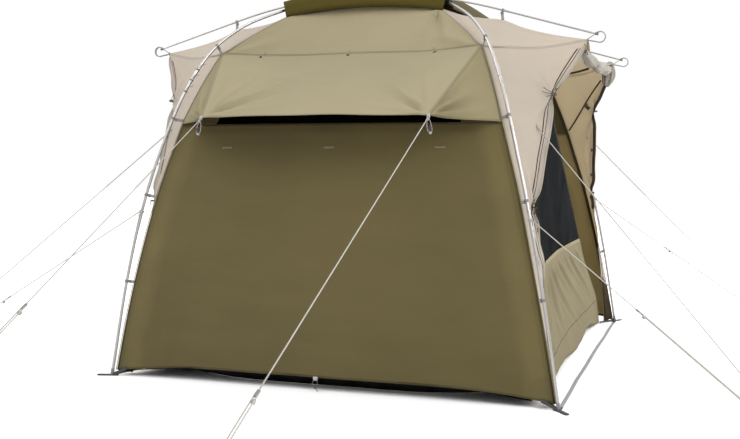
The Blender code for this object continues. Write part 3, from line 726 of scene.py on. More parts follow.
SHOULDER = (0.765, -1.060, 1.835)
PEAK = (PEAK_X, -RIDGE_Y + 0.0075, PEAK_Z)
KNOT = (1.130, -0.970, 1.570)
HOOD_CORNER = (0.918, -1.259, 1.420)
TIE = (1.090, -1.285, 0.985)
LOW_TIE = (1.140, -1.240, 0.700)
SIDE_FOOT = (1.185, -1.385, 0.004)
HEM_CORNER = (1.239, -1.458, 0.030)
ROOF_CORNER = (0.4625, -0.770, 2.082)
CLIP_POINT = (0.8175, -RIDGE_Y, 2.003)
HOOD_GUY = (0.6225, -1.6025, 1.4425)
CORNER_PEG = (2.320, -1.990, 0.0)
HOOD_PEG = (0.550, -4.334, 0.0)
VENT_X = 0.672
VENT_LOW = 1.424
VENT_HIGH = 1.670
LOWER_ANCHOR = (1.100, -1.4165, 0.925)
SIDE_HEM_RISE = 0.055
SIDE_HEM_PEGS = (SIDE_FOOT[1], 0.220, 1.360)
SKIRT_TOP_X = 1.120
SKIRT_FOOT_X = 1.060
SKIRT_FOOT_IN = 0.138
SKIRT_END_IN = 0.260
SKIRT_BEND = 0.350
INSIDE = np.array((0.0, 0.0, 1.0))

# %% [markdown]
# ## Poles
# A main pole is eight lengths of tube that plug into each other and bend into one arch. At
# each joint a short sleeve is a little thicker than the tube. One swept surface makes the
# whole pole: its radius is the tube's, and it swells at the joints by a smooth step.

# %% Main poles
def main_pole_quarter(count):
    """The main pole's axis from its foot to the crossing."""
    knots = [
        (FOOT_X, -FOOT_Y, 0.0047),
        (1.170, -1.4525, 0.550),
        (1.105, -1.420, 0.885),
        (1.0525, -1.3825, 1.1125),
        (1.005, -1.340, 1.2925),
        (0.9625, -1.295, 1.445),
        (0.920, -1.245, 1.585),
        (0.870, -1.1825, 1.720),
        (0.805, -1.100, 1.8525),
        (0.6975, -0.970, 1.985),
        (0.500, -0.7475, 2.1175),
        (0.250, -0.374, 2.2465),
        (0.0, 0.0, APEX_Z),
    ]
    return smooth(knots, count)


def length_along(path):
    """Distance along a path from its start."""
    return np.concatenate([[0], np.cumsum(np.linalg.norm(np.diff(path, axis=0), axis=1))])


JOINTS_AT = np.array([0.885, 1.770, 2.600])
JOINT_HALF = 0.045
JOINT_SWELL = 0.13
FOOT_PLUG = 0.030
PLUG_SHARE = 0.72


def swell_at(length, places, half, swell):
    """One plus a smooth step up to swell within half a sleeve of each place."""
    near = np.min(np.abs(length[:, None] - places), axis=1)
    return 1 + swell / (1 + np.exp((near - half) / 0.0015))


def main_pole(name, turn, drop):
    """A whole main pole, foot to foot, lowered by drop where it passes its twin."""
    quarter = main_pole_quarter(420)
    near = mirrored(quarter, (turn, 1))
    far = mirrored(quarter[::-1], (-turn, -1))[1:]
    path = np.concatenate([near, far])
    path[:, 2] -= drop * np.exp(-(np.hypot(path[:, 0], path[:, 1]) / 0.25) ** 2)
    length = length_along(path)
    half = np.minimum(length, length[-1] - length)
    scale = swell_at(half, JOINTS_AT, JOINT_HALF, JOINT_SWELL)
    scale *= np.where(half < FOOT_PLUG, PLUG_SHARE, 1.0)
    guide = np.array((FOOT_Y, turn * FOOT_X, 0.0))
    tube = rod(path, MAIN_POLE_R, guide, FINE_ROUND, scale)
    return stand_in(name, "_tube", [tube], SILVER)


main_pole("main_pole_a", 1, 0.0)
main_pole("main_pole_b", -1, 2 * MAIN_POLE_R + 0.0003)
print("A main pole is", round(2 * length_along(main_pole_quarter(420))[-1], 2), "m long")

# %% Wing poles
WING_BEND_X = 0.80
WING_TIP_X = 1.330
WING_APEX_Z = 2.179
WING_SLOPE = 0.29


def wing_height(x):
    """Height of the wing pole's axis: an arc over the middle and straight beyond its bend."""
    inner = np.minimum(np.abs(x), WING_BEND_X)
    arc = WING_APEX_Z - WING_SLOPE / (2 * WING_BEND_X) * inner ** 2
    return arc - WING_SLOPE * np.maximum(np.abs(x) - WING_BEND_X, 0)


def wing_path(count):
    """The front wing pole's axis, over the roof's ridge and parallel to X."""
    x = np.linspace(-WING_TIP_X, WING_TIP_X, count)
    return np.stack([x, np.full_like(x, -RIDGE_Y), wing_height(x)], 1)


WING_JOINTS = np.array([0.52, 1.05])
WING_JOINT_HALF = 0.025
WING_JOINT_SWELL = 0.16
WING_PLUG = 0.022
WING_PLUG_SHARE = 0.8
for end, signs in ENDS.items():
    line = wing_path(301)
    length = length_along(line)
    half = np.minimum(length, length[-1] - length)
    swollen = swell_at(half, WING_JOINTS, WING_JOINT_HALF, WING_JOINT_SWELL)
    swollen *= np.where(half < WING_PLUG, WING_PLUG_SHARE, 1.0)
    shell = moved_to(rod(line, WING_POLE_R, (0, 1, 0), FINE_ROUND, swollen), signs)
    stand_in("wing_pole_" + end, "_tube", [shell], SILVER)
print("A wing pole is", round(length_along(wing_path(301))[-1], 2), "m long")

# %% [markdown]
# ## Folds
# Cloth that is pulled at a point folds along lines that run out from it. A fold here is a
# ridge along a straight line: its height is greatest near the pull and fades along the line,
# and it falls off to both sides as a bell curve. A sheet's edges that are sewn to others
# stay where they are, so folds fade out towards them.

# %% Fold rules
def outward(grid):
    """Directions square to a sheet, from the slopes of its rows and columns, away from the inside."""
    square = unit(np.cross(np.gradient(grid, axis=1), np.gradient(grid, axis=0)))
    return square * np.sign(((grid - INSIDE) * square).sum(-1).mean())


def inset_line(grid, inset):
    """Places on a sheet at a distance in from its last column, one for each row."""
    steps = np.linalg.norm(np.diff(grid, axis=1), axis=2)[:, ::-1]
    far = np.concatenate([np.zeros((len(grid), 1)), np.cumsum(steps, 1)], 1)
    inset = np.broadcast_to(inset, len(grid))
    k = np.clip((far < inset[:, None]).sum(1) - 1, 0, grid.shape[1] - 2)
    rows = np.arange(len(grid))
    t = (inset - far[rows, k]) / np.maximum(far[rows, k + 1] - far[rows, k], 1e-6)
    back = grid[:, ::-1]
    return back[rows, k] * (1 - t[:, None]) + back[rows, k + 1] * t[:, None]


def laid(line, beside, width, thick, inner=False):
    """A flat tape laid on cloth along a line, its width towards the places beside the line."""
    across = unit(beside - line)
    up = unit(np.cross(across, np.gradient(line, axis=0)))
    up = up * np.sign(((line - INSIDE) * up).sum(1).mean())
    lift = (CLOTH_T / 2 + thick / 2 + 0.0001) * (-1 if inner else 1)
    return tape(line + up * lift, across, width, thick)


def hold_edges(shape, top=True, bottom=True, left=True, right=True, share=0.08):
    """Weights from nought at the held edges to one further in."""
    rows, columns = shape[:2]
    v = np.linspace(0, 1, rows)[:, None]
    u = np.linspace(0, 1, columns)[None]
    far = np.full((rows, columns), 1.0)
    for held, distance in ((top, v), (bottom, 1 - v), (left, u), (right, 1 - u)):
        if held:
            far = np.minimum(far, distance / share)
    return np.clip(far, 0, 1) ** 1.5


def fold(grid, start, end, depth, width, late=0.0):
    """Height of one fold on a sheet, from start to end, widening as it goes.

    t is how far along the line a place lies and d its distance from the line, measured in the
    sheet. The height is depth (1 − t) near its start, times exp(−(d / w)²), with w growing
    from a third to all of width. late moves the highest part further along the line.
    """
    way = np.subtract(end, start)
    t = ((grid - start) * way).sum(-1) / (way ** 2).sum()
    near = np.clip(t, 0, 1)
    apart = grid - start - near[..., None] * way
    square = outward(grid)
    d = np.linalg.norm(apart - (apart * square).sum(-1, keepdims=True) * square, axis=-1)
    w = width * (0.33 + 0.67 * near)
    fade = (1 - near) * np.clip(near / (0.04 + late), 0, 1) * (t < 1)
    return depth * fade * np.exp(-(d / w) ** 2)


def waves(grid, way, pitch, height, phase=0.0):
    """Long low waves across a direction, each pitch metres long."""
    return height * np.sin(2 * np.pi / pitch * (grid * way).sum(-1) + phase)


def raised(grid, heights, hold):
    """A sheet moved out along its own directions by heights, where it isn't held."""
    return grid + outward(grid) * (heights * hold)[..., None]


def sheet_at_each(name, places, fine, finish, over=False):
    """One cloth at each place: built and put for the solid of its name.

    The name holds {} for the place. over turns its faces over.
    """
    for place, signs in places.items():
        shell = moved_to(grid_shell(fine), signs)
        shells = [turned_over(shell) if over else shell]
        piece = stand_in(name.format(place), "_cloth", shells, finish, CLOTH_T)


# %% [markdown]
# ## Seam lines
# Neighbouring sheets meet on shared seams, so each seam is one function that both use.

# %% Seam lines of the front right quarter
UPPER_ROWS = 4
KNOT_ROW = 3
LOW_TIE_ROW = 10
SEAM_POINTS = 13


def front_edge():
    """The corner seam of the front wall, from the shoulder down inside the main pole."""
    upper = smooth([SHOULDER, (0.845, -1.165, 1.640), HOOD_CORNER], UPPER_ROWS)
    lower = smooth([HOOD_CORNER, (1.029, -1.345, 1.035), (1.112, -1.405, 0.676),
                    (1.190, -1.440, 0.300), HEM_CORNER], 12)[1:]
    return np.concatenate([upper, lower])


def door_edge():
    """The free edge of the corner panel: peak, knot, tie, and down to the foot."""
    upper = smooth([PEAK, (1.200, -0.850, 1.730), KNOT], 4)
    middle = smooth([KNOT, (1.105, -1.135, 1.270), TIE], 5)[1:]
    waist = smooth([TIE, (1.110, -1.255, 0.850), LOW_TIE], 4)[1:]
    lower = smooth([LOW_TIE, (1.165, -1.325, 0.350), SIDE_FOOT], 5)[1:]
    return np.concatenate([upper, middle, waist, lower])


def eave_seam():
    """The seam from the shoulder to the peak, where roof and corner panel meet."""
    return smooth([SHOULDER, (1.030, -0.912, 1.828), PEAK], 5)


def hip():
    """The seam from the roof's corner to the shoulder, under the main pole."""
    return smooth([ROOF_CORNER, (0.614, -0.918, 1.965), SHOULDER], 4)


def seam_line():
    """The seam between the front roof panel and the wall, shoulder to shoulder."""
    half = [SHOULDER, (0.4975, -0.9775, 1.823), (0.0, -0.935, 1.826)]
    left = [(-x, y, z) for x, y, z in half[:2]]
    return smooth(left + half[::-1], SEAM_POINTS)


def wing_ridge(count):
    """Top edge of the cloth under the wing pole, from the roof corner out to the peak."""
    return smooth([ROOF_CORNER, (0.620, -RIDGE_Y, 2.030), CLIP_POINT, (0.955, -RIDGE_Y, 1.949),
                   (1.120, -RIDGE_Y, 1.908), PEAK], count)


def eave(count):
    """Side edge of the roof between the two peaks: it sags down and inwards."""
    t = np.linspace(-1, 1, count)
    sag = 1 - t ** 2
    return np.stack([PEAK_X - EAVE_IN * sag, PEAK[1] * -t, PEAK_Z - EAVE_SAG * sag], 1)


def fit_ends(grid, edge):
    """Bend the rows of a net so that both their ends lie on an edge and its mirror image."""
    out = grid.copy()
    across = np.linspace(-1, 1, grid.shape[1])[None, :, None]
    right = (edge - grid[:, -1])[:, None]
    left = (edge * (-1, 1, 1) - grid[:, 0])[:, None]
    return out + np.where(across > 0, right, left) * np.abs(across) ** 3


def wall_row(level, count):
    """A level line of the front wall, nearly straight between the two corner seams."""
    edge = front_edge()
    x = np.interp(-level, -edge[:, 2], edge[:, 0])
    y = np.interp(-level, -edge[:, 2], edge[:, 1])
    across = np.linspace(-1, 1, count)
    return np.stack([x * across, np.full(count, y), np.full(count, level)], 1)


# %% [markdown]
# ## Front and rear walls
# The olive wall is one large sheet between the corner seams. It hangs almost flat: it bows
# out a little, most of it close to its side seams, and wide shallow waves run down it.

# %% Olive walls
WALL_PULLS = ((0.80, 1.09), (0.84, 1.19), (0.90, 1.27), (0.82, 0.97))
WALL_BOW = 0.026


def hem_lift(across):
    """How far the front hem lies above its corners: the full rise, soon after each end."""
    return (HEM_Z - HEM_CORNER[2]) * np.minimum(1, 1.6 * (1 - across ** 2))


def wall_net():
    """Coarse net of the front wall, from under the hood down to the hem, which rises mid-way."""
    levels = front_edge()[UPPER_ROWS - 1:, 2]
    net_places = np.array([wall_row(level, SEAM_POINTS) for level in levels])
    lift = hem_lift(np.linspace(-1, 1, SEAM_POINTS))
    fade = np.clip((0.5 - levels) / 0.5, 0, 1)
    net_places[:, :, 2] += lift[None] * fade[:, None]
    return net_places


def wall_sheet():
    """The fine front wall with its bow and waves."""
    grid = fine_sheet(wall_net(), 8, 9)
    u = np.linspace(-1, 1, grid.shape[1])[None]
    v = np.linspace(0, 1, grid.shape[0])[:, None]
    bow = WALL_BOW * (1 - u ** 8) * np.sin(np.pi * np.clip(v * 0.9 + 0.1, 0, 1))
    heights = bow + waves(grid, (1, 0, 0.12), 0.62, 0.003) + waves(grid, (1, 0, -0.2), 0.37, 0.0016, 1.0)
    heights += waves(grid, (0.25, 0, 1), 0.45, 0.0018, 0.7)
    for x in (-0.95, -0.35, 0.25, 0.9):
        heights += fold(grid, (x, -1.46, 0.06), (x * 0.9 + 0.05, -1.40, 0.55), 0.006, 0.05)
    for side in (-1, 1):
        for reach_x, reach_z in WALL_PULLS:
            pulled = (side * 1.03, -1.345, 1.02)
            heights += fold(grid, pulled, (side * reach_x, -1.33, reach_z), 0.006, 0.020, 0.05)
    hold = hold_edges(grid.shape, bottom=False, share=0.035)
    return grid, raised(grid, heights, hold)


wall_cut, wall_fine = wall_sheet()
sheet_at_each("wall_cover_{}", ENDS, wall_fine, OLIVE)

# %% [markdown]
# ## Roof panels, hoods and the vents behind them
# Above the wall the hood stands out like the peak of a cap. Two cords pull it at its corners,
# and its cloth folds there in long shallow creases. Behind it the wall goes on up to the
# seam, with a long window of net.

# %% Roof panels
PANEL_CREASES = [
    (SHOULDER, (0.500, -0.800, 2.070), 0.034, 0.022),
    (SHOULDER, (0.430, -0.790, 2.080), -0.024, 0.022),
    (SHOULDER, (0.560, -0.860, 2.015), 0.020, 0.014),
    ((0.470, -0.790, 2.070), (0.560, -0.980, 1.850), 0.026, 0.024),
    ((0.450, -0.790, 2.070), (0.470, -0.960, 1.870), -0.020, 0.022),
    ((0.440, -0.790, 2.075), (0.390, -0.950, 1.880), 0.016, 0.020),
]


def roof_panel_sheet():
    """The khaki roof between the cap and the toggled seam."""
    top = smooth([(-ROOF_CORNER[0], *ROOF_CORNER[1:]), (0, -0.735, 2.120), ROOF_CORNER], SEAM_POINTS)
    coarse = ruled(top, seam_line(), 4).transpose(1, 0, 2)
    grid = fine_sheet(fit_ends(coarse, hip()), 10, 8)
    heights = waves(grid, (1, 0, 0), 0.5, 0.002) + waves(grid, (0.8, 0, 1), 0.33, 0.0012)
    for side in (-1, 1):
        heights += fold(grid, mirrored(SHOULDER, (side, 1)), (side * 0.25, -0.85, 1.99), 0.010, 0.045)
        heights += fold(grid, mirrored(SHOULDER, (side, 1)), (side * 0.35, -0.80, 2.06), -0.008, 0.035)
        heights += fold(grid, mirrored(ROOF_CORNER, (side, 1)), (side * 0.30, -0.93, 1.86), 0.007, 0.040)
    for crease in PANEL_CREASES:
        heights += fold(grid, *crease, 0.05)
    return grid, raised(grid, heights, hold_edges(grid.shape, share=0.05))


panel_cut, panel_fine = roof_panel_sheet()
sheet_at_each("roof_panel_{}", ENDS, panel_fine, KHAKI)

# %% Hood
GUSSET_STEPS = 36
HOOD_SAG = 0.016
HOOD_FOLDS = [
    ((0.154, -1.072, 1.747), 0.026, 0.028),
    ((0.084, -1.177, 1.687), -0.018, 0.026),
    ((0.020, -1.400, 1.560), 0.014, 0.034),
    ((0.450, -1.050, 1.780), 0.014, 0.022),
    ((0.640, -1.230, 1.700), 0.020, 0.012),
]
GUSSET_FOLDS = [
    ((0.900, -1.290, 1.500), 0.040, 0.026),
    ((0.900, -1.290, 1.440), -0.030, 0.022),
    ((0.880, -1.250, 1.570), -0.028, 0.026),
    ((0.850, -1.180, 1.650), 0.026, 0.026),
    ((0.810, -1.100, 1.750), -0.016, 0.024),
]


def hood_sheet():
    """The hood: a middle part from the seam to its lower edge, and a gusset at each side.

    The gusset's outer edge is the corner seam, its inner edge runs from the shoulder to the
    guy point, and the crease between the two parts stays sharp.
    """
    lift = np.array([0, -0.0024, 0.001])
    top = seam_line() + lift
    right_guy = np.array(HOOD_GUY)
    low = smooth([right_guy * (-1, 1, 1), (0, -1.585, 1.452), right_guy], SEAM_POINTS)
    t = np.linspace(0, 1, UPPER_ROWS)[:, None, None]
    middle = fine_sheet(top[None] * (1 - t) + low[None] * t, 14, 9)
    outer = finer(front_edge()[:UPPER_ROWS] + (-0.001, -0.004, 0.001), 14)
    gusset = ruled(middle[:, -1], outer, GUSSET_STEPS + 1)
    u = np.linspace(-1, 1, middle.shape[1])[None]
    v = np.linspace(0, 1, middle.shape[0])[:, None]
    sag = HOOD_SAG * np.sin(np.pi * v) * (1 - u ** 2)
    heights = waves(middle, (1, 0, 0), 0.47, 0.0015) - sag
    for side in (-1, 1):
        corner = right_guy * (side, 1, 1)
        for end, depth, width in HOOD_FOLDS:
            heights += fold(middle, corner, mirrored(end, (side, 1)), depth, width, 0.05)
    middle_fine = raised(middle, heights, hold_edges(middle.shape, bottom=False, share=0.06))
    creases = sum(fold(gusset, right_guy, *crease, 0.04) for crease in GUSSET_FOLDS)
    gusset_fine = raised(gusset, creases, hold_edges(gusset.shape, bottom=False, share=0.06))
    return middle, middle_fine, gusset, gusset_fine


hood_cut, hood_fine, gusset_cut, gusset_fine = hood_sheet()
sheet_at_each("hood_{}", ENDS, hood_fine, KHAKI)
# The gussets' darker khaki is painted shade.
for corner, signs in QUARTERS.items():
    shell = moved_to(grid_shell(gusset_fine), signs)
    piece = build("hood_gusset_" + corner + "_cloth", [shell], SHADED_GUSSET_KHAKI, CLOTH_T)


def upper_wall_sheet():
    """The whole sheet from the seam down to the olive wall."""
    low = wall_row(HOOD_CORNER[2], SEAM_POINTS)
    coarse = ruled(seam_line(), low, UPPER_ROWS).transpose(1, 0, 2)
    return fine_sheet(fit_ends(coarse, front_edge()[:UPPER_ROWS]), 16, 10)


upper_fine = upper_wall_sheet()
upper_x = np.abs(upper_fine[:-1, :-1, 0] + upper_fine[1:, 1:, 0]) / 2
upper_z = (upper_fine[:-1, :-1, 2] + upper_fine[1:, 1:, 2]) / 2
vent_columns = upper_x[len(upper_x) * 3 // 4] < VENT_X
middle_z = upper_z[:, upper_z.shape[1] // 2]
vent_rows = (middle_z > VENT_LOW) & (middle_z < VENT_HIGH)
in_vent = (vent_rows[:, None] & vent_columns[None]).ravel()
# The upper wall's darker olive and the vent's darker net are painted shade under the hood.
for end, signs in ENDS.items():
    places, faces, uv = moved_to(grid_shell(upper_fine), signs)
    around = (places, faces[~in_vent], uv[~in_vent])
    opening = (places, faces[in_vent], uv[in_vent])
    wall = stand_in("upper_wall_" + end, "_cloth", [around], SHADED_UPPER_OLIVE, CLOTH_T)
    window = stand_in("vent_mesh_" + end, "_net", [opening], SHADED_VENT_NET, NET_T)

# %% [markdown]
# ## Mud skirts
# A flap hangs from each end wall's hem and lies on the ground inside. It is drawn nearly black,
# which is partly painted shade for the dark inside of the tent under the hem.

# %% Mud skirts
def skirt_sheet():
    """The front skirt: from the hem down and in to the ground, which it meets further in at its ends."""
    across = np.linspace(-1, 1, SEAM_POINTS)
    hem_z = HEM_CORNER[2] + hem_lift(across)
    bend = np.clip((np.abs(across) - SKIRT_BEND) / (1 - SKIRT_BEND), 0, 1) ** 2
    top = np.stack([SKIRT_TOP_X * across, np.full(SEAM_POINTS, HEM_CORNER[1] + 0.001), hem_z + 0.004], 1)
    foot_y = HEM_CORNER[1] + SKIRT_FOOT_IN + SKIRT_END_IN * bend
    low = np.stack([SKIRT_FOOT_X * across, foot_y, np.full(SEAM_POINTS, 0.0015)], 1)
    middle = (top + low) / 2 + (0, 0.020, -0.004)
    grid = fine_sheet(np.array([top, middle, low]), 8, 12)
    ripple = waves(grid, (1, 0, 0), 0.21, 0.004) + waves(grid, (1, 0, 0), 0.087, 0.002, 0.5)
    return grid, raised(grid, ripple, hold_edges(grid.shape, share=0.2))


skirt_cut, skirt_fine = skirt_sheet()
sheet_at_each("mud_skirt_{}", ENDS, skirt_fine, SKIRT)

# %% [markdown]
# ## Side roofs
# Each side roof is one beige sheet: a hanging middle between the two ridges, and a small
# facet at the front and at the rear from the ridge down to the seam over the corner. The
# ridge is a crease, so the three parts are made finer one by one.

# %% Side roofs
WING_COLUMNS = 8


def wing_parts():
    """Coarse nets of the front facet and of the middle of the right side roof."""
    ridge = wing_ridge(WING_COLUMNS)
    outer = np.concatenate([hip(), eave_seam()[1:]])
    facet = np.array([outer * (1 - t) + ridge * t for t in (0.0, 0.5, 1.0)])
    rows = 9
    edge = eave(rows)
    v = np.linspace(-1, 1, rows)[:, None, None]
    u = np.linspace(0, 1, WING_COLUMNS)[None, :, None]
    corner = np.stack([np.full(rows, ROOF_CORNER[0]), ROOF_CORNER[1] * -v[:, 0, 0],
                       ROOF_CORNER[2] + 0.010 * (1 - v[:, 0, 0] ** 2)], 1)[:, None]
    line = corner * (1 - u) + edge[:, None] * u
    along = np.repeat(ridge[None], rows, 0)
    along[:, :, 1] = along[:, :, 1] * -v[:, :, 0]
    middle = line * (1 - np.abs(v) ** 3) + along * np.abs(v) ** 3
    return facet, middle


def wing_sheet():
    """The fine right side roof with its sharp ridges and its soft folds."""
    facet, middle = wing_parts()
    facet_fine = fine_sheet(facet, 10, 9)
    pull = np.array(PEAK)
    heights = fold(facet_fine, pull, (0.80, -0.95, 1.93), 0.008, 0.035, 0.03)
    heights += fold(facet_fine, pull, (0.75, -0.82, 1.99), -0.006, 0.030, 0.03)
    facet_folded = raised(facet_fine, heights, hold_edges(facet_fine.shape, share=0.12))
    middle_fine = fine_sheet(middle, 10, 9)
    slow = waves(middle_fine, (0.4, 1, 0), 0.41, 0.003) + waves(middle_fine, (-0.5, 1, 0), 0.29, 0.002)
    for end in (1, -1):
        point = pull * (1, end, 1)
        slow += fold(middle_fine, point, (0.75, -0.35 * end, 2.00), 0.012, 0.045, 0.03)
        slow += fold(middle_fine, point, (0.95, -0.15 * end, 1.94), -0.009, 0.040, 0.03)
        slow += fold(middle_fine, point, (1.20, -0.10 * end, 1.84), 0.008, 0.030, 0.03)
    middle_folded = raised(middle_fine, slow, hold_edges(middle_fine.shape, share=0.06))
    back = (facet_folded * (1, -1, 1))[::-1]
    cut_back = (facet_fine * (1, -1, 1))[::-1]
    cut = np.concatenate([facet_fine[:-1], middle_fine, cut_back[1:]])
    return cut, np.concatenate([facet_folded[:-1], middle_folded, back[1:]])


wing_cut, wing_fine = wing_sheet()
sheet_at_each("roof_wing_{}", SIDES, wing_fine, BEIGE,
              over=True)

# %% [markdown]
# ## Corner panels
# A corner panel runs from the wing's seam round the corner to the ground. It is one sheet of
# beige cloth whose free edge is gathered twice: by a cord at the knot, and by a tie at
# waist height. Folds run out from both.

# %% Corner panels
def corner_net():
    """Coarse net of the front right corner panel: rows from the roof down, columns to the door."""
    net_places = ruled(front_edge(), door_edge(), 5)
    bend = eave_seam() - net_places[0]
    rows = np.arange(KNOT_ROW)
    net_places[:KNOT_ROW] += bend[None] * (1 - rows / KNOT_ROW)[:, None, None]
    return net_places


CORNER_FOLDS = [
    (KNOT, (0.900, -1.030, 1.780), 0.012, 0.040),
    (KNOT, (1.080, -0.900, 1.800), 0.014, 0.035),
    (KNOT, (1.000, -0.960, 1.800), -0.010, 0.030),
    (KNOT, (0.880, -1.210, 1.540), 0.010, 0.045),
    (KNOT, (0.960, -1.260, 1.330), 0.014, 0.045),
    (KNOT, (1.010, -1.260, 1.180), -0.010, 0.030),
    (TIE, (1.000, -1.240, 1.330), 0.012, 0.030),
    (TIE, (1.060, -1.180, 1.380), -0.010, 0.022),
    (TIE, (1.120, -1.380, 0.620), 0.010, 0.028),
    (TIE, (1.150, -1.330, 0.500), -0.008, 0.022),
    (SIDE_FOOT, (1.130, -1.370, 0.520), 0.010, 0.028),
    (SIDE_FOOT, (1.170, -1.340, 0.450), -0.008, 0.022),
    (PEAK, (1.020, -0.960, 1.660), 0.008, 0.030),
]


CORNER_DOWN = 9
CORNER_ACROSS = 14
FLAP_WIDTH = 0.028
FLAP_STEPS = 6
FLAP_WAY = unit((1.0, 0.15, 0.0))


def tied_in(height):
    """One where the curtain's edge is held together, and nought between those places."""
    return sum(np.exp(-((height - held) / 0.055) ** 2) for held in (PEAK_Z, KNOT[2], TIE[2]))


def flap_columns(edge):
    """The curtain's free edge, which stands out from the door line except where it is tied."""
    spread = np.clip(1 - tied_in(edge[:, 2]), 0.1, 1) * np.clip((edge[:, 2] - 0.80) / 0.15, 0.03, 1)
    t = np.linspace(0, 1, FLAP_STEPS + 1)[1:]
    out = FLAP_WAY * (FLAP_WIDTH * spread[:, None] * t)[..., None]
    out[..., 1] += 0.006 * spread[:, None] * t * np.sin(2 * np.pi * edge[:, 2:] / 0.19)
    return edge[:, None] + out


def corner_sheet():
    """The fine front right corner panel with its folds and its flap."""
    grid = fine_sheet(corner_net(), CORNER_DOWN, CORNER_ACROSS)
    heights = sum(fold(grid, *crease, 0.05) for crease in CORNER_FOLDS)
    heights = heights + waves(grid, (0.3, 0.3, 1), 0.31, 0.002)
    folded = raised(grid, heights, hold_edges(grid.shape, right=False, bottom=False, share=0.10))
    return [np.concatenate([one, flap_columns(one[:, -1])], 1) for one in (grid, folded)]


corner_cut, corner_fine = corner_sheet()
sheet_at_each("corner_panel_{}", QUARTERS, corner_fine, BEIGE)

# %% [markdown]
# Two dark zips run down each corner panel beside its free edge, and a dark binding covers the edge
# inside; their darkness is partly painted shadow of the fold beside the edge. Where the edge is tied
# they come together. Khaki piping covers the corner seam; it is darker than the cloth, as painted shade.

# %% Zips, binding and piping of the corners
ZIP_AND_SHADE_LINES = ((0.060, 0.006), (0.036, 0.0035))
BINDING_AT = 0.014
BINDING_WIDE = 0.022
TAPE_THICK = 0.0009
PIPING_R = 0.0022
LINING_TOP = 0.30

narrowed = 1 - 0.55 * np.clip(tied_in(corner_fine[:, -1, 2]), 0, 1)
zip_and_shade_shells = []
# Partly painted shadow: these dark tapes also stand for the shadow of the fold beside the free edge.
for inset, wide in ZIP_AND_SHADE_LINES:
    line = inset_line(corner_fine, inset * narrowed)[4:-4]
    beside = inset_line(corner_fine, inset * narrowed - 0.003)[4:-4]
    zip_and_shade_shells.append(laid(line, beside, wide, TAPE_THICK))
line = inset_line(corner_fine, BINDING_AT * narrowed)[2:-2]
beside = inset_line(corner_fine, BINDING_AT * narrowed - 0.003)[2:-2]
zip_and_shade_shells.append(laid(line, beside, BINDING_WIDE, TAPE_THICK, inner=True))
trims("corner_zips_and_fold_shade", zip_and_shade_shells, BINDING)

seam_fine = finer(front_edge(), CORNER_DOWN)
inner_seam = laid(seam_fine + (-0.010, 0.004, 0.0), seam_fine, 0.020, TAPE_THICK, inner=True)
trims("corner_seam_binding", [inner_seam], BINDING)
# Painted shade: the darker khaki piping stands for the shadow along the corner seam.
piping = rod(seam_fine + (0.003, -0.004, 0.0), PIPING_R, (1, 1, 0))
trims("corner_seam_shade_piping", [piping], WEB_KHAKI)

# Partly painted shade: a dark flap inside the foot of each corner panel also stands for the shade low in the
# corner.
low_rows = corner_fine[corner_fine[:, 0, 2] < LINING_TOP][:, :-FLAP_STEPS]
down = np.linspace(0, 1, len(low_rows))[:, None]
ripples = waves(low_rows, (1, 1, -0.25), 0.045, 0.004) * down
for corner, signs in QUARTERS.items():
    apart = 0.006 if corner.startswith("rear") else -0.006
    lining = raised(low_rows + outward(low_rows) * apart, ripples, hold_edges(low_rows.shape, share=0.2))
    shell = moved_to(grid_shell(lining), signs)
    piece = build("corner_lining_" + corner, [shell], LINING, CLOTH_T)

# %% [markdown]
# ## Side doors
# Half of the inner door stays closed. Its free edge slants from the knot down to the rear
# foot. Net fills its upper part, and the cloth below the net is pulled down to the ground.

# %% Side door leaves
DIAGONAL_TOP = (-0.930, 1.552)
DIAGONAL_FOOT = (1.360, 0.155)
LEAF_FOLDS = [
    (-1.32, -0.80, 0.020, 0.030),
    (-1.28, -0.40, -0.014, 0.026),
    (-1.22, 0.00, 0.024, 0.030),
    (-1.12, 0.34, -0.014, 0.026),
    (-1.00, 0.66, 0.024, 0.030),
    (-0.82, 0.96, -0.013, 0.026),
    (-0.60, 1.20, 0.022, 0.030),
    (-0.38, 1.44, -0.012, 0.026),
    (-0.14, 1.66, 0.020, 0.028),
    (0.14, 1.90, 0.016, 0.028),
]
LEAF_SEAM_Z = 0.180
LEAF_X = 1.105
LEAF_FLARE = 0.045


def diagonal(level):
    """Distance along Y of the leaf's slanting free edge at a height."""
    return np.interp(-level, (-DIAGONAL_TOP[1], -DIAGONAL_FOOT[1]), (DIAGONAL_TOP[0], DIAGONAL_FOOT[0]))


def leaf_rows(starts, count):
    """Level lines of the door's leaf, from the corner panel's edge to the diagonal."""
    x0, y0, level = (starts[:, k:k + 1] for k in range(3))
    x1 = LEAF_X + LEAF_FLARE * np.clip((0.5 - level) / 0.5, 0, 1)
    t = np.linspace(0, 1, count)[None]
    hollow = 0.018 * np.sin(math.pi * t) * (1 - level / 1.6)
    x = x0 + (x1 - x0) * np.minimum(1, t * 2.2) - hollow
    y = y0 + (diagonal(level) - y0) * t
    return np.stack([x, y, np.broadcast_to(level, x.shape)], 2)


def hem_rise(place_y):
    """Height of the side hem: it stays up in front of its middle peg and arches up behind it."""
    front, middle, rear = SIDE_HEM_PEGS
    start = np.where(place_y < middle, front, middle)
    end = np.where(place_y < middle, middle, rear)
    t = np.clip((place_y - start) / (end - start), 0, 1)
    t = np.where(place_y < middle, np.maximum(t, 0.5), t)
    return SIDE_HEM_RISE * np.sin(math.pi * t) ** 2


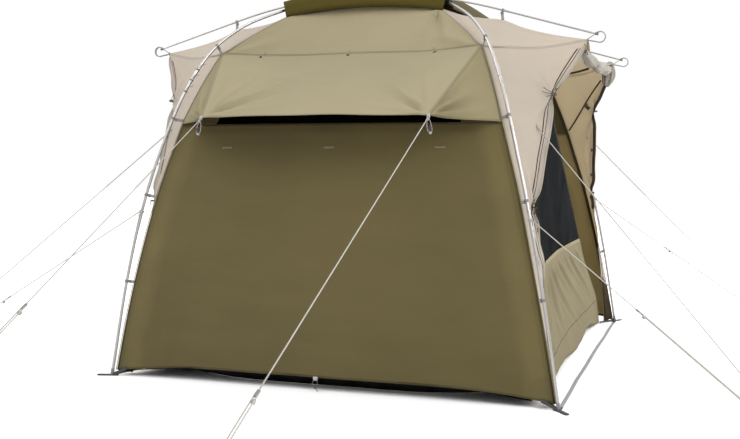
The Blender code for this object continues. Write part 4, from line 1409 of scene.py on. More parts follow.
def leaf_sheets():
    """The net and the cloth of the right door's leaf, as fine sheets with their folds.

    The cloth is pulled down at the places where its hem is pegged, so its folds slant from the
    net's lower seam down to the rear, and they fade towards the hem.
    """
    edge = door_edge()
    net_cut = fine_sheet(leaf_rows(edge[KNOT_ROW:LOW_TIE_ROW + 1], 8), 8, 10)
    cloth_cut = fine_sheet(leaf_rows(edge[LOW_TIE_ROW:], 8), 14, 16)
    low = np.clip(1 - cloth_cut[:, :, 2] / LOW_TIE[2], 0, 1)
    cloth_cut[:, :, 2] += hem_rise(cloth_cut[:, :, 1]) * low ** 2
    net_heights = waves(net_cut, (0, 1, 0.6), 0.35, 0.005) + waves(net_cut, (0, 0.7, -1), 0.23, 0.0025)
    slant = waves(cloth_cut, (0, 0.34, 0.94), 0.16, 0.003)
    slant += waves(cloth_cut, (0, 0.40, 0.90), 0.09, 0.0016, 1.2)
    slant *= 1 - 0.6 * low
    for start_y, end_y, depth, width in LEAF_FOLDS:
        slant += fold(cloth_cut, (1.11, start_y, 0.70), (1.13, end_y, 0.04), depth, width, 0.12)
    for hem_y in SIDE_HEM_PEGS[1:]:
        for lean in (-0.16, -0.07, 0.03, 0.11):
            slant += fold(cloth_cut, (1.13, hem_y, 0.02), (1.13, hem_y + lean, 0.20), 0.008, 0.018, 0.10)
    net_fine = raised(net_cut, net_heights, hold_edges(net_cut.shape, share=0.12))
    cloth_fine = raised(cloth_cut, slant, hold_edges(cloth_cut.shape, bottom=False, share=0.12))
    return net_cut, net_fine, cloth_cut, cloth_fine


leaf_net_cut, leaf_net_fine, leaf_cloth_cut, leaf_cloth_fine = leaf_sheets()
for side, signs in SIDES.items():
    net_shell = moved_to(grid_shell(leaf_net_fine), signs)
    cloth_shell = moved_to(grid_shell(leaf_cloth_fine), signs)
    net_piece = stand_in("side_mesh_" + side, "_net", [net_shell], NET, NET_T)
    cloth_piece = stand_in("side_panel_" + side, "_cloth", [cloth_shell], SIDE_KHAKI, CLOTH_T)

# %% Seams and piping of the side doors
def level_line(grid, level):
    """Places on a sheet at one height, one for each column."""
    drop = (grid[:, :, 2] > level).sum(0).clip(1, len(grid) - 1)
    columns = np.arange(grid.shape[1])
    above, below = grid[drop - 1, columns], grid[drop, columns]
    t = ((above[:, 2] - level) / np.maximum(above[:, 2] - below[:, 2], 1e-6)).clip(0, 1)[:, None]
    return above * (1 - t) + below * t


cloth_piping = rod(leaf_cloth_fine[:, -1], 0.003, (1, 0, 0))
net_piping = rod(leaf_net_fine[3:, -1], 0.003, (1, 0, 0))
trims("side_leaf_piping", [cloth_piping], WEB_KHAKI, SIDES)
trims("side_net_piping", [net_piping], BINDING, SIDES)
seam_at = level_line(leaf_cloth_fine, LEAF_SEAM_Z)[3:]
seam_over = level_line(leaf_cloth_fine, LEAF_SEAM_Z + 0.006)[3:]
leaf_tape = laid(leaf_cloth_fine[1, 2:], leaf_cloth_fine[0, 2:], 0.012, 0.0008)
leaf_seam = laid(seam_at, seam_over, 0.0035, 0.0008)
trims("side_leaf_tapes", [leaf_tape], WEB_KHAKI, SIDES)
trims("side_leaf_seams", [leaf_seam], BINDING, SIDES)
net_line = inset_line(leaf_net_fine, 0.020)[6:]
net_zip = laid(net_line, inset_line(leaf_net_fine, 0.016)[6:], 0.006, TAPE_THICK)
net_rows = leaf_net_fine[-2:, 2:-1] + (0.001, 0, 0)
net_low = laid(net_rows[1], net_rows[0], 0.007, TAPE_THICK)
trims("side_net_borders", [net_zip], BINDING, SIDES)
trims("side_net_seams", [net_low], WEB_KHAKI, SIDES)

# %% Rolled doors
ROLL_R = 0.034
ROLL_LINE = [(1.248, -0.630, 1.825), (1.253, -0.520, 1.812), (1.253, -0.400, 1.807),
             (1.255, -0.200, 1.803), (1.258, 0.050, 1.799), (1.256, 0.350, 1.812),
             (1.257, 0.600, 1.828), (1.258, 0.690, 1.836)]
ROLL_TIES = (0.36, 0.72)
BUNCH_LINE = [(1.264, 0.735, 1.885), (1.260, 0.718, 1.860), (1.257, 0.705, 1.825),
              (1.253, 0.698, 1.785), (1.243, 0.696, 1.745), (1.236, 0.698, 1.730)]


def folded_roll(line, radius, creases):
    """A closed rod of folded cloth: its radius is given for each place and angle."""
    angle = np.linspace(0, 2 * np.pi, radius.shape[1], endpoint=False)[None]
    along = unit(np.gradient(line, axis=0))
    side = unit(np.cross(along, (0.9, 0.0, 0.45)))
    up = np.cross(side, along)
    reach = side[:, None] * np.cos(angle)[..., None] + up[:, None] * np.sin(angle)[..., None]
    return turned_over(closed_tube(line, line[:, None] + reach * (radius * (1 + creases))[..., None]))


def rolled_door():
    """The rolled outer door: a long roll that its ties pinch, with folds that run along it."""
    line = smooth(ROLL_LINE, 241)
    t = np.linspace(0, 1, len(line))[:, None]
    angle = np.linspace(0, 2 * np.pi, 56, endpoint=False)[None]
    pinch = sum(np.exp(-((t - at) / 0.020) ** 2) for at in ROLL_TIES)
    ends = 0.60 + 0.40 * np.minimum(1, np.minimum(t, 1 - t) / 0.14) ** 0.6
    creases = 0.05 * np.sin(5 * angle + 5 * t) + 0.03 * np.sin(11 * angle - 17 * t)
    lumps = 0.06 * np.sin(17 * t + 2 * angle) + 0.05 * np.sin(38 * t - angle)
    lip = 0.09 * np.exp(-((np.mod(angle - 2.2 - 0.5 * t, 2 * np.pi) - np.pi) / 0.16) ** 2)
    radius = ROLL_R * ends * (0.94 - 0.24 * pinch) * np.ones_like(angle)
    return line, folded_roll(line, radius, creases + lumps + lip)


def bunched_end():
    """The door's rear end: cloth gathered under the rear peak, which hangs in a bunch."""
    line = smooth(BUNCH_LINE, 61)
    t = np.linspace(0, 1, len(line))[:, None]
    angle = np.linspace(0, 2 * np.pi, 64, endpoint=False)[None]
    size = 0.013 + 0.025 * np.sin(np.pi * np.clip(t * 0.92 + 0.04, 0, 1)) ** 0.8
    creases = 0.17 * np.sin(7 * angle + 2.5 * t) + 0.09 * np.sin(12 * angle - 4 * t + 1.0)
    return folded_roll(line, size * np.ones_like(angle), creases)


roll_line, roll_shell = rolled_door()
for side, signs in SIDES.items():
    shells = [moved_to(roll_shell, signs), moved_to(bunched_end(), signs)]
    stand_in("rolled_door_" + side, "_cloth", shells, SHADED_ROLL_BEIGE)

# %% [markdown]
# Dark webbing ties hold the roll. Each goes round it once and hangs from the eave. One more
# runs from the front peak to the roll's front end, and one tail sticks out below the roll.
# Inside, a strap runs from the rear peak down to the corner seam.

# %% Ties of the rolled doors
TIE_R = 0.0265
TIE_WIDE = 0.014
TIE_THICK = 0.0018
ROLL_FRONT_KNOB = (1.256, -0.620, 1.818)
TAIL_LINE = ((1.215, -0.080, 1.782), (1.150, -0.100, 1.762), (1.085, -0.120, 1.748))
INNER_STRAP = ((1.195, 0.800, 1.775), (1.125, 0.900, 1.696), (1.067, 0.984, 1.620),
               (1.000, 1.090, 1.530), (0.930, 1.190, 1.440))
INNER_STRAP_ACROSS = (0.85, 0.13, -0.52)
INNER_TAB = ((1.072, 0.980, 1.626), (1.079, 0.982, 1.606), (1.100, 0.980, 1.588))

tie_shells = []
for at in ROLL_TIES:
    k = int(at * (len(roll_line) - 1))
    axes = square_axes(roll_line[k + 1] - roll_line[k], (0, 0, 1))
    band = ring(TIE_R, TIE_WIDE, TIE_THICK, FLAT)
    tie_shells.append(placed(band, roll_line[k], axes[[1, 2, 0]]))
    top = roll_line[k] + (-0.016, 0.0, 0.027)
    tail = smooth(top + [(0, 0, 0), (0.014, 0.006, 0.010), (0.030, 0.004, -0.006), (0.040, 0.0, -0.030)], 14)
    tie_shells.append(tape(tail, axes[0], TIE_WIDE * 0.8, TIE_THICK))
    tie_shells.append(placed(pebble((0.018, 0.018, 0.012), 0.7), top + (0.0, 0.0, 0.003), axes))
peak = np.array(PEAK)
webbing_down = smooth([peak + (-0.004, -0.004, 0), (1.280, -0.710, 1.866),
                       (1.274, -0.660, 1.846), ROLL_FRONT_KNOB], 16)
tie_shells.append(tape(webbing_down, (0.3, 0.5, 1), 0.014, 0.002))
tie_shells.append(placed(pebble((0.030, 0.022, 0.020), 0.7), ROLL_FRONT_KNOB, np.eye(3)))
tie_shells.append(tape(smooth(TAIL_LINE, 12), (0.1, 0.5, -0.8), 0.014, 0.002))
trims("roll_ties", tie_shells, BINDING, SIDES)

strap = tape(smooth(INNER_STRAP, 20), INNER_STRAP_ACROSS, 0.011, 0.0018)
trims("inner_straps", [moved_to(strap, (1, -1))], BINDING)
tab = tape(smooth(INNER_TAB, 10), (0.3, 0.1, 1.0), 0.024, 0.005)
trims("inner_strap_tabs", [moved_to(tab, (1, -1))], TOGGLE_BLACK)

# %% [markdown]
# ## The cap
# The cap lies on the crossing of the poles like a small square roof. It rises over each pole,
# and a short valance hangs from its edges except near the corners, where the poles come out.

# %% Cap
END_VALANCE = 0.096
END_VALANCE_HALF = 0.985
SIDE_VALANCE = 0.072
SIDE_VALANCE_HALF = 0.860
VALANCE_OUT = 0.002
RIM_OVER_POLE = 0.016


def pole_height(share):
    """Height of the main pole's axis a share of the way from the middle to the cap's corner."""
    path = main_pole_quarter(200)
    reach = np.hypot(path[:, 0], path[:, 1])
    return np.interp(share * math.hypot(CAP_X, CAP_Y - 0.0375), reach[::-1], path[::-1, 2])


def cap_sheet():
    """The cap's net: its crown follows the poles, its rim the wing poles, and its edge drops."""
    steps = np.concatenate([-np.linspace(1, 0.04, 24), [0.0], np.linspace(0.04, 1, 24)])
    gx, gy = np.meshgrid(steps * CAP_X, steps * CAP_Y, indexing="ij")
    share_x = np.abs(gx) / CAP_X
    share_y = np.abs(gy) / CAP_Y
    share = np.maximum(share_x, share_y)
    seat = MAIN_POLE_R + 0.0016 + 0.008 * np.minimum(1, 5 * share)
    crown = pole_height(share) + seat
    end_rim = wing_height(gx) + RIM_OVER_POLE
    side_rim = wing_height(CAP_X) + RIM_OVER_POLE + 0.015 * (1 - share_y ** 2)
    blend = 1 / (1 + np.exp(-(share_y - share_x) * 60))
    rim = side_rim * (1 - blend) + end_rim * blend
    top = crown + (rim - pole_height(1.0) - MAIN_POLE_R) * share ** 3
    grid = np.stack([gx, gy, top], 2)
    end_drop = np.where(np.abs(steps) < END_VALANCE_HALF, END_VALANCE, 0.0)
    side_drop = np.where(np.abs(steps) < SIDE_VALANCE_HALF, SIDE_VALANCE, 0.0)
    for grow in range(3):
        grid = np.pad(grid, ((1, 1), (1, 1), (0, 0)), mode="edge")
        ends = np.pad(end_drop, grow)
        sides = np.pad(side_drop, grow)
        for edge, way in ((0, -1), (-1, 1)):
            grid[1:-1, edge, 2] -= ends / 3
            grid[edge, 1:-1, 2] -= sides / 3
            grid[1:-1, edge, 1] += way * VALANCE_OUT * (ends > 0)
            grid[edge, 1:-1, 0] += way * VALANCE_OUT * (sides > 0)
    return grid


cap_fine = cap_sheet()
cap = stand_in("roof_cap", "_cloth", [grid_shell(cap_fine)], CAP_OLIVE_AND_SHADE, CLOTH_T)

# %% Net under the cap
share = np.linspace(-1, 1, 41)
gx, gy = np.meshgrid(share, share, indexing="ij")
half_y = -ROOF_CORNER[1] + (-0.735 - ROOF_CORNER[1]) * (gx ** 2 - 1)
height = ROOF_CORNER[2] + 0.038 * (1 - gx ** 2) * np.abs(gy) + 0.035 * (1 - gy ** 2)
top_net = np.stack([gx * ROOF_CORNER[0], gy * half_y, height], 2)
piece = stand_in("roof_vent_mesh", "_net", [grid_shell(top_net)], ROOF_NET, NET_T)

# %% [markdown]
# ## Clips on the poles
# The cloth hangs from the poles by clips. Each is a moulded hook that snaps round the pole,
# with a bar for a short piece of webbing that is sewn into the seam. A clip is made once in
# its own axes, the pole along z and the cloth along x, and then placed.

# %% Clips
CLIP_HEIGHTS = (1.880, 1.450, 1.020, 0.540)
CLIP_WIDE = 0.014
STRAP_WIDE = 0.016
STRAP_THICK = 0.0018
SHOULDER_STRAP = np.array(SHOULDER) + (0.006, 0.010, -0.012)


def shifted(shell, by):
    """A shell moved without a turn."""
    return placed(shell, by, np.eye(3))


def pole_clip(on_axis, along, on_cloth, pole_r):
    """The plastic and the webbing of one clip, from a place on the pole's axis to the cloth."""
    along = unit(along)
    toward = np.subtract(on_cloth, on_axis)
    toward = unit(toward - along * (toward @ along))
    axes = np.stack([toward, np.cross(along, toward), along])
    turn = np.radians(np.linspace(-38, 252, 30))[:, None]
    hook_r = pole_r + 0.0016
    arc = np.concatenate([hook_r * np.cos(turn), hook_r * np.sin(turn), 0 * turn], 1)
    parts = [tape(arc, (0, 0, 1), CLIP_WIDE, 0.0026),
             shifted(pebble((0.012, 0.008, CLIP_WIDE), 0.45), (pole_r + 0.006, 0, 0)),
             shifted(pebble((0.006, 0.009, STRAP_WIDE + 0.006), 0.4), (pole_r + 0.012, 0, 0))]
    start = on_axis + toward * (pole_r + 0.011)
    strap = tape(straight(start, on_cloth, 5), axes[2], STRAP_WIDE, STRAP_THICK)
    return [placed(part, on_axis, axes) for part in parts], strap


pole_line = main_pole_quarter(420)
pole_ways = unit(np.gradient(pole_line, axis=0))


def nearest(values, wanted):
    """Which of the values is nearest to the wanted one."""
    return int(np.argmin(np.abs(values - wanted)))


def on_pole(height):
    """The place on the main pole's axis at a height, and the pole's direction there."""
    k = nearest(pole_line[:, 2], height)
    return pole_line[k], pole_ways[k]


def on_seam(height):
    """The place on the corner seam at a height."""
    return np.array([np.interp(height, seam_fine[::-1, 2], seam_fine[::-1, k]) for k in range(3)])


clip_shells = []
strap_shells = []
for height in CLIP_HEIGHTS:
    place, way = on_pole(height)
    cloth_place = SHOULDER_STRAP if height > SHOULDER[2] else on_seam(height - 0.010)
    plastic_parts, strap = pole_clip(place, way, cloth_place, MAIN_POLE_R)
    clip_shells += plastic_parts
    strap_shells.append(strap)
wing_place = np.array((CLIP_POINT[0], -RIDGE_Y, wing_height(CLIP_POINT[0])))
plastic_parts, strap = pole_clip(wing_place, (1, 0, -WING_SLOPE), CLIP_POINT, WING_POLE_R)
clip_shells += plastic_parts
strap_shells.append(strap)
trims("pole_clips", clip_shells, CLIP_GREY)
trims("clip_straps", strap_shells, WEB_GREY)
print("Made", 4 * len(strap_shells), "clips")

# %% [markdown]
# One main pole carries elastic cord whose ends are knotted round it between the clips, and on
# both poles a toggle hangs from the lower guy line's ring.

# %% Cord ends on the main poles
CORD_ENDS = (1.731, 1.674, 1.607)
CORD_POLE = {"front_left": (-1, 1), "rear_right": (1, -1)}
TOGGLE_HANG = 0.040

cord_shells = []
for height in CORD_ENDS:
    place, way = on_pole(height)
    cord_shells.append(coil(place, way, MAIN_POLE_R + 0.0004, 0.0013, 2.2))
    tail = smooth(place + [(-0.006, -0.008, 0.010), (-0.020, -0.006, 0.022), (-0.052, -0.002, 0.030)], 9)
    cord_shells.append(rod(tail, 0.0013, (1, 1, 0)))
trims("pole_cord_ends", cord_shells, CORD_DARK, CORD_POLE)
place, way = on_pole(LOWER_ANCHOR[2])
hang = place + np.array((0.012, -0.010, -0.008))
hang_cord = cord(hang, hang + (0.002, -0.001, -TOGGLE_HANG), 0.0013, 6)
hang_toggle = shifted(pebble((0.010, 0.010, 0.024), 0.55), hang + (0.002, -0.001, -TOGGLE_HANG - 0.012))
trims("pole_toggle_cords", [hang_cord], CORD_DARK)
trims("pole_toggles", [hang_toggle], TOGGLE_BLACK)

# %% [markdown]
# ## Webbing rings at the wing tips
# At each wing tip thin webbing leaves the cloth's peak, goes round in a ring of about six
# centimetres and ends on the pole's tip, which it keeps in place.

# %% Wing tips
TIP_RING_MIDDLE = np.array((1.350, -RIDGE_Y, 1.892))
TIP_RING_R = 0.029
POLE_TIP = np.array((WING_TIP_X, -RIDGE_Y, wing_height(WING_TIP_X)))

turn = np.radians(np.linspace(246, 452, 40))[:, None]
round_part = TIP_RING_MIDDLE + TIP_RING_R * np.concatenate([np.cos(turn), 0 * turn, np.sin(turn)], 1)
loop_line = np.concatenate([[peak + (-0.004, 0, -0.003)], round_part, [POLE_TIP + (0.002, 0, 0.007)]])
tip_line = straight(peak + (-0.004, -0.004, 0.002), POLE_TIP + (-0.010, 0, -0.004), 5)
tip_shells = [tape(loop_line, (0, 1, 0), 0.014, 0.0058), tape(tip_line, (0, 1, 0), 0.014, 0.003)]
trims("wing_tip_rings", tip_shells, WEB_GREY)
tip_axes = square_axes((1, 0, -WING_SLOPE))
tip_ring = placed(ring(0.0062, 0.004, 0.0022, FLAT), POLE_TIP + tip_axes[0] * 0.010, tip_axes[[1, 2, 0]])
knob_shells = [placed(pebble((0.018, 0.015, 0.015), 0.6), POLE_TIP, tip_axes), tip_ring]
trims("wing_tip_knobs", knob_shells, CLIP_GREY)

# %% [markdown]
# ## Ties of the curtains
# A dark cord gathers each corner panel at the knot, and its ends stick out. At waist height
# a webbing tie goes round the gathered edge.

# %% Curtain ties
KNOT_TAILS = [
    [(0, 0, 0), (-0.024, -0.030, 0.016), (-0.052, -0.060, 0.036)],
    [(0, 0, 0), (-0.024, -0.026, 0.006), (-0.060, -0.056, 0.014)],
    [(0, 0, 0), (-0.018, -0.022, -0.004), (-0.040, -0.040, -0.010)],
]
knot_place = np.array(KNOT) + (0.010, -0.010, 0.0)
tie_place = np.array(TIE) + (0.008, -0.006, 0.0)
curtain_shells = [coil(knot_place, (-0.05, 0.15, 1.0), 0.010, 0.002, 2.6)]
for steps in KNOT_TAILS:
    tail = smooth(np.array(steps) + knot_place + (0.006, -0.010, 0), 12)
    curtain_shells.append(rod(tail, 0.0018, (0, 0, 1)))
curtain_shells += knot(knot_place + (0.008, -0.012, 0.002), (-1, -1, 0.3), 0.0022)
trims("curtain_knots", curtain_shells, CORD_DARK)

waist_axes = square_axes((0.05, 0.1, 1.0), (1, 0, 0))[[1, 2, 0]]
waist = placed(ring(0.011, 0.007, 0.0018, FLAT), tie_place, waist_axes)
waist_tail = smooth(tie_place + [(0.006, -0.010, 0), (0.004, -0.018, -0.010), (0.002, -0.020, -0.026)], 9)
waist_shells = [waist, tape(waist_tail, (1, 1, 0), 0.007, 0.0016)]
trims("curtain_waist_ties", waist_shells, BINDING)

# %% [markdown]
# Small black toggles on loops sit on the door's edges. They close the outer door when it is
# let down.

# %% Door toggles
TOGGLE_SPOTS = (1.300, 1.120, 0.960, 0.560, 0.330)
door_toggles = []
door_loops = []
for height in TOGGLE_SPOTS:
    k = nearest(corner_fine[:, -1, 2], height)
    spot = inset_line(corner_fine, 0.020)[k] * (1, -1, 1) + (-0.010, -0.008, 0.0)
    door_toggles.append(shifted(pebble((0.010, 0.010, 0.024), 0.5), spot))
    door_loops.append(cord(spot + (0, 0, 0.010), spot + (0.008, 0.008, 0.016), 0.0014, 4))
trims("door_toggles", door_toggles, TOGGLE_BLACK, SIDES)
trims("door_toggle_loops", door_loops, CORD_DARK, SIDES)

# %% [markdown]
# ## Details of the end walls
# Three toggles with khaki loops close the seam over each hood. Three faint pale bars on the olive
# wall are painted light: spots of light from the seam above. A pale loop of webbing with a knotted
# cord hangs from the middle of the hem, for a peg.

# %% Toggled seam and painted light spots on the wall
SEAM_TOGGLES = (-0.545, -0.035, 0.487)
WALL_LIGHT_SPOTS = (-0.613, -0.012, 0.605)
WALL_LIGHT_SPOT_Z = 1.283
WALL_LIGHT_SPOT_HALF = 0.030

seam_path = finer(seam_line(), 10) + (0, -0.002, 0.0016)
seam_shells = [rod(seam_path, 0.0012, (0, 0, 1))]
seam_toggles = []
toggle_axes = square_axes((0.85, -0.35, 0.40), (0, -0.5, 1.0))
for x in SEAM_TOGGLES:
    k = nearest(panel_fine[-1, :, 0], x)
    up_side = panel_fine[-3:, k] + outward(panel_fine)[-3:, k] * 0.002
    edge = panel_fine[-1, k]
    down = edge + [(0.0, -0.006, -0.004), (0.0, -0.016, -0.010), (0.0, -0.024, -0.016)]
    seam_shells.append(tape(np.concatenate([up_side, down]), (1, 0, 0), 0.009, 0.0015))
    seam_toggles.append(placed(pebble((0.026, 0.011, 0.010), 0.6), edge + (0, -0.022, -0.012), toggle_axes))
trims("seam_loops", seam_shells, WEB_KHAKI, ENDS)
trims("seam_toggles", seam_toggles, TOGGLE_BROWN, ENDS)

# Painted light: three pale strips on the wall stand for spots of light.
light_spot_row = wall_fine[nearest(wall_fine[:, wall_fine.shape[1] // 2, 2], WALL_LIGHT_SPOT_Z)]
light_spot_shells = []
for x in WALL_LIGHT_SPOTS:
    light_spot_x = np.linspace(x - WALL_LIGHT_SPOT_HALF, x + WALL_LIGHT_SPOT_HALF, 8)
    line = np.stack([np.interp(light_spot_x, light_spot_row[:, 0], light_spot_row[:, k]) for k in range(3)], 1)
    light_spot_shells.append(laid(line, line + (0, 0, -0.01), 0.020, 0.0006))
trims("wall_painted_light_spots", light_spot_shells, WEB_OLIVE_LIGHT_SPOTS, ENDS)

# %% Peg loops at the hems
HEM_LOOP = np.array((-0.027, -1.460, 0.064))
SIDE_LOOP = np.array((1.131, 0.220, 0.024))

hem_line = HEM_LOOP + [(0, -0.002, 0.012), (0, -0.007, 0.0), (0, -0.003, -0.010), (0, 0.003, 0.0),
                       (0, 0.002, 0.012)]
hem_tab = tape(smooth(hem_line, 20), (1, 0, 0), 0.024, 0.0016)
side_line = SIDE_LOOP + [(0.002, 0, 0.012), (0.007, 0, 0.0), (0.003, 0, -0.012), (-0.002, 0, 0.0),
                         (-0.002, 0, 0.012)]
side_tab = tape(smooth(side_line, 20), (0, 1, 0), 0.022, 0.0016)
loop_knot = HEM_LOOP + (0.004, -0.016, -0.044)
loop_line = HEM_LOOP + [(-0.008, -0.006, -0.004), (-0.013, -0.013, -0.024), (0.004, -0.016, -0.044),
                        (0.015, -0.013, -0.024), (0.008, -0.006, -0.004)]
loop_tail = loop_knot + [(0, 0, 0), (0.008, -0.006, -0.010), (0.020, -0.014, -0.0155)]
hem_cords = [rod(smooth(loop_line, 30), 0.0018, (0, 1, 0)), rod(smooth(loop_tail, 10), 0.0018, (0, 1, 0))]
hem_cords += knot(loop_knot, (0.3, 0, 1), 0.0024)
build("hem_tabs", everywhere([hem_tab], ENDS) + everywhere([side_tab], SIDES), WEB_PALE)
trims("hem_cords", hem_cords, CORD_DARK, ENDS)

# %% [markdown]
# ## Feet and ground straps
# Webbing on the ground joins the front and rear foot of each side. Each foot stands in an
# eyelet in a dark doubled end with a rounded tail, and two short straps, one with a buckle,
# pull the hems of the end wall and of the door to the foot.

# %% Feet and straps
GROUND_WEB = 0.020
PAD_WIDE = 0.026
PAD_THICK = 0.006
PAD_IN = 0.035
PAD_OUT = 0.088
PAD_ROUND = 0.014
FOOT = np.array((FOOT_X, -FOOT_Y, 0.0))

t = np.linspace(0, 1, 90)
ground_x = FOOT_X - 0.006 * np.sin(np.pi * t) + 0.0015 * np.sin(19 * t)
ground_z = 0.0017 + 0.0006 * (1 + np.sin(31 * t))
ground_line = np.stack([ground_x, (FOOT_Y - 0.045) * (2 * t - 1), ground_z], 1)
ground_web = tape(ground_line, (1, 0, 0), GROUND_WEB, 0.002)
for side, signs in SIDES.items():
    stand_in("ground_strap_" + side, "_web", [moved_to(ground_web, signs)], WEB_LIGHT)

TAIL_WAYS = {
    "front_right": (0.62, -0.78),
    "front_left": (0.96, -0.28),
    "rear_right": (0.48, -0.87),
    "rear_left": (0.70, -0.70),
}
foot_shells = []
for corner, signs in QUARTERS.items():
    way = unit((*TAIL_WAYS[corner], 0.0))
    reach = np.linspace(-PAD_IN, PAD_OUT, 24)[:, None]
    line = FOOT + way * reach + (0, 0, PAD_THICK / 2 + 0.0004)
    tip = np.clip((PAD_OUT - reach[:, 0]) / PAD_ROUND, 0, 1)
    rounded = np.sqrt(1 - (1 - tip) ** 2) * 0.97 + 0.03
    pad = tape(line, np.cross((0, 0, 1), way), PAD_WIDE, PAD_THICK, rounded)
    foot_shells.append(moved_to(pad, signs))
    back = straight(FOOT + (0, 0.085, 0.0021), FOOT + (0, -0.012, 0.0035), 8)
    foot_shells.append(moved_to(tape(back, (1, 0, 0), GROUND_WEB + 0.002, 0.0024), signs))
end_strap = smooth([FOOT + (-0.008, -0.006, 0.010), (1.215, -1.479, 0.023), (1.196, -1.476, 0.032)], 8)
side_strap = smooth([FOOT + (-0.010, 0.020, 0.007), (1.205, -1.390, 0.012), (1.165, -1.300, 0.013)], 12)
rear_strap = smooth([(1.250, 1.472, 0.012), (1.205, 1.460, 0.035), (1.160, 1.435, 0.050),
                     (1.129, 1.406, 0.056)], 14)
foot_shells += everywhere([tape(end_strap, (0, 0.3, 1), 0.015, 0.0018),
                           tape(side_strap, (0.3, 0.2, 1), 0.013, 0.0018)], QUARTERS)
foot_shells += everywhere([tape(rear_strap, (0.2, 0.2, 1), 0.015, 0.002)], SIDES)
build("foot_straps", foot_shells, WEB_DARK)

buckle_axes = square_axes((-1.0, 0.05, 0.42), (0, -1, 0.2))
buckle_shells = [placed(pebble((0.040, 0.018, 0.008), 0.4), (1.187, -1.474, 0.036), buckle_axes)]
socket_line = FOOT + [(0, 0, 0.0042), (-0.0012, 0.0004, 0.012), (-0.005, 0.0016, 0.040)]
socket = [rod(socket_line, 0.0096, (1, 0, 0), FINE_ROUND)]
trims("foot_buckles", buckle_shells, TOGGLE_BLACK)
trims("foot_sockets", socket, CLIP_GREY)
eyelet = shifted(ring(0.0125, 0.0015, 0.003, FLAT), FOOT + (0, 0, 0.0048))
trims("foot_eyelets", [eyelet], STEEL)

# %% [markdown]
# ## Guy lines and pegs
# Two guy lines leave each corner, one from the panel and one from the pole, for one peg, and
# one leaves each guy point of the hoods. A line with a tensioner runs single down to it and
# double from there round the peg, since the tensioner slides on the cord's own loop.

# %% Guy lines
PEG_TOP = 0.055
PEG_LEAN = 0.018
PEG_R = 0.004
PEG_HOOK = 0.018
LOOP_Z = 0.030
UPPER_LOOP_Z = 0.037
LOOP_R = 0.0062
HOOD_TENSION = {"front_right": 0.684, "front_left": 0.557, "rear_right": 0.620, "rear_left": 0.650}
CORNER_TENSION = {"front_right": 0.436, "front_left": 0.533, "rear_right": 0.417, "rear_left": 0.470}
STRANDS_APART = 0.006
UPPER_KNOT_AT = 0.93


def away_from(place, anchor):
    """Level direction from an anchor on the tent out to its peg."""
    return unit(np.subtract(place, anchor) * (1, 1, 0))


def loop_round(place, anchor, level):
    """Half a turn of cord round the far side of a leaning peg, at a height."""
    away = away_from(place, anchor)
    side = np.array((-away[1], away[0], 0.0))
    axis = place + away * PEG_LEAN * level / PEG_TOP + (0, 0, level)
    turn = np.radians(np.linspace(90, -90, 13))[:, None]
    return axis + LOOP_R * (away * np.cos(turn) + side * np.sin(turn))


def guy_line(anchor, place, share, level):
    """A guy line: single down to its slider or knot, then double round the peg."""
    turn = loop_round(place, anchor, level)
    at = anchor + (turn.mean(0) - anchor) * share
    way = unit(turn.mean(0) - anchor)
    side = np.cross(way, (0, 0, 1))
    side = unit(side) * np.sign(side @ (turn[0] - turn[-1]))
    start = at + side * STRANDS_APART
    end = at - side * STRANDS_APART
    double = np.concatenate([straight(start, turn[0], 10)[:-1], turn, straight(turn[-1], end, 10)[1:]])
    return at, way, [cord(anchor, at + way * 0.012, GUY_R, 12), rod(double, GUY_R)]


def slider(at, way):
    """The tensioner of a guy line: a flat bar with rounded ends."""
    return placed(pebble((0.038, 0.013, 0.008), 0.45), at, square_axes(way))


corner_anchor_row = 4 * CORNER_DOWN
corner_anchor_column = 3 * CORNER_ACROSS
upper_anchor = corner_fine[corner_anchor_row, corner_anchor_column]
upper_out = outward(corner_fine)[corner_anchor_row, corner_anchor_column]
pole_place, pole_way = on_pole(LOWER_ANCHOR[2])
lower_anchor = pole_place + away_from(CORNER_PEG, pole_place) * (MAIN_POLE_R + GUY_R + 0.0003)
guy = np.array(HOOD_GUY)
sliders = []
for corner, signs in QUARTERS.items():
    at, way, lower_parts = guy_line(lower_anchor, CORNER_PEG, CORNER_TENSION[corner], LOOP_Z)
    sliders.append(moved_to(slider(at, way), signs))
    tail_knot = knot(at + way * 0.030 + (0, 0, -0.006), way, GUY_R * 1.1)
    upper_start = upper_anchor + upper_out * 0.004
    far, far_way, upper_parts = guy_line(upper_start, CORNER_PEG, UPPER_KNOT_AT, UPPER_LOOP_Z)
    parts = lower_parts + upper_parts + tail_knot + knot(far, far_way, GUY_R * 1.2)
    parts.append(coil(pole_place, pole_way, MAIN_POLE_R + 0.0004, GUY_R, 2.5))
    parts = [moved_to(part, signs) for part in parts]
    stand_in("corner_guys_" + corner, "_cord", parts, CORD)

    at, way, parts = guy_line(guy + (0, -0.003, -0.010), HOOD_PEG, HOOD_TENSION[corner], LOOP_Z)
    sliders.append(moved_to(slider(at, way), signs))
    parts += knot(at + way * 0.032 + (0, 0, -0.006), way, GUY_R * 1.1)
    parts = [moved_to(part, signs) for part in parts]
    stand_in("hood_guy_" + corner, "_cord", parts, CORD)
build("guy_sliders", sliders, CLIP_GREY)

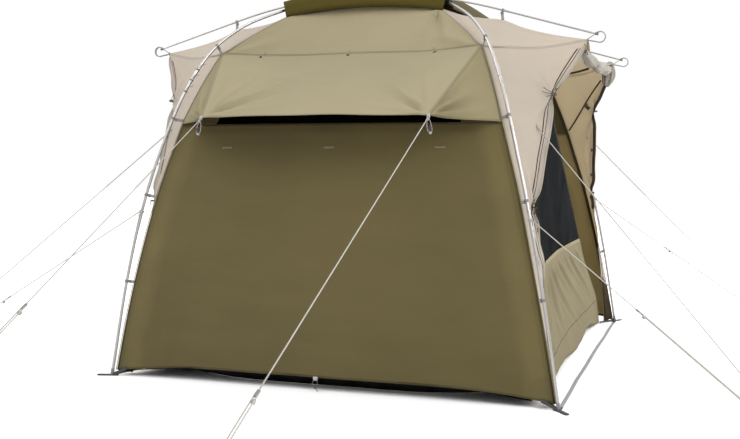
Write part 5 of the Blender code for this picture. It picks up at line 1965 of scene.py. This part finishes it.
# %% Guy points
tab_line = guy + [(-0.004, 0.020, 0.013), (-0.001, 0.004, 0.003), (0, -0.004, -0.012),
                  (0, 0.003, -0.010), (-0.003, 0.018, 0.008)]
point_tab = tape(smooth(tab_line, 24), (1, 0, 0), 0.015, 0.0018)
eye_axes = square_axes((1, 0, 0), (0, 1, 0))
point_eye = placed(ring(0.005, 0.0018, 0.0018), guy + (0, -0.005, -0.010), eye_axes)
hang_low = guy + (0.012, -0.008, -0.086)
hang_line = guy + [(0, -0.005, -0.012), (-0.006, -0.007, -0.040), (0.008, -0.008, -0.082),
                   (0.016, -0.008, -0.082), (0.014, -0.007, -0.040), (0.003, -0.005, -0.012)]
point_cords = [rod(smooth(hang_line, 40), 0.0016, (0, 1, 0))]
point_cords += knot(hang_low, (0.2, 0, 1), 0.0024)
point_cords += knot(guy + (0, -0.014, -0.020), (0.1, -0.6, -0.6), 0.0022)
trims("guy_point_tabs", [point_tab], WEB_PALE)
trims("guy_point_eyelets", [point_eye], STEEL)
trims("guy_point_cords", point_cords, CORD)
point_axes = square_axes((0, 0, 1), (0, -1, 0))
point_buckle = placed(pebble((0.026, 0.016, 0.010), 0.5), hang_low + (0, 0, 0.020), point_axes)
trims("guy_point_buckles", [point_buckle], TOGGLE_BLACK)
loop_out = np.array((0.0012, 0.0045, 0.0045, 0.0018, 0.0012))[:, None] * upper_out
loop_steps = [(0, 0, 0.020), (0, 0, 0.008), (0.001, -0.001, -0.001), (0, 0, 0.004), (0, 0, -0.014)]
loop_path = upper_anchor + loop_out + loop_steps
patch = tape(smooth(loop_path, 20), np.cross(upper_out, (0, 0, 1)), 0.012, 0.0014)
trims("corner_guy_loops", [patch], WEB_BEIGE)


# %% Pegs
def peg_shell(place, anchor):
    """The part of a peg that stands out of the ground: it leans away and ends in a hook."""
    away = away_from(place, anchor)
    lean = np.array((0, 0, PEG_TOP)) + away * PEG_LEAN
    foot = np.add(place, (0, 0, PEG_R * PEG_LEAN / np.linalg.norm(lean)))
    top = place + lean
    hook = top - away * PEG_HOOK + (0, 0, 0.004)
    down = hook + (0, 0, -0.009) + away * -0.004
    side = np.array((-away[1], away[0], 0.0))
    bent = smooth([foot, foot + lean * 0.4, top - lean * 0.15, top + away * -0.002 + (0, 0, 0.002),
                   (top + hook) / 2 + (0, 0, 0.003), hook, down], 40)
    return rod(bent, PEG_R, side, FINE_ROUND)


for corner, signs in QUARTERS.items():
    for kind, place, anchor in (("corner", CORNER_PEG, upper_anchor), ("hood", HOOD_PEG, HOOD_GUY)):
        peg = moved_to(peg_shell(place, anchor), signs)
        stand_in(kind + "_peg_" + corner, "_rod", [peg], STEEL)
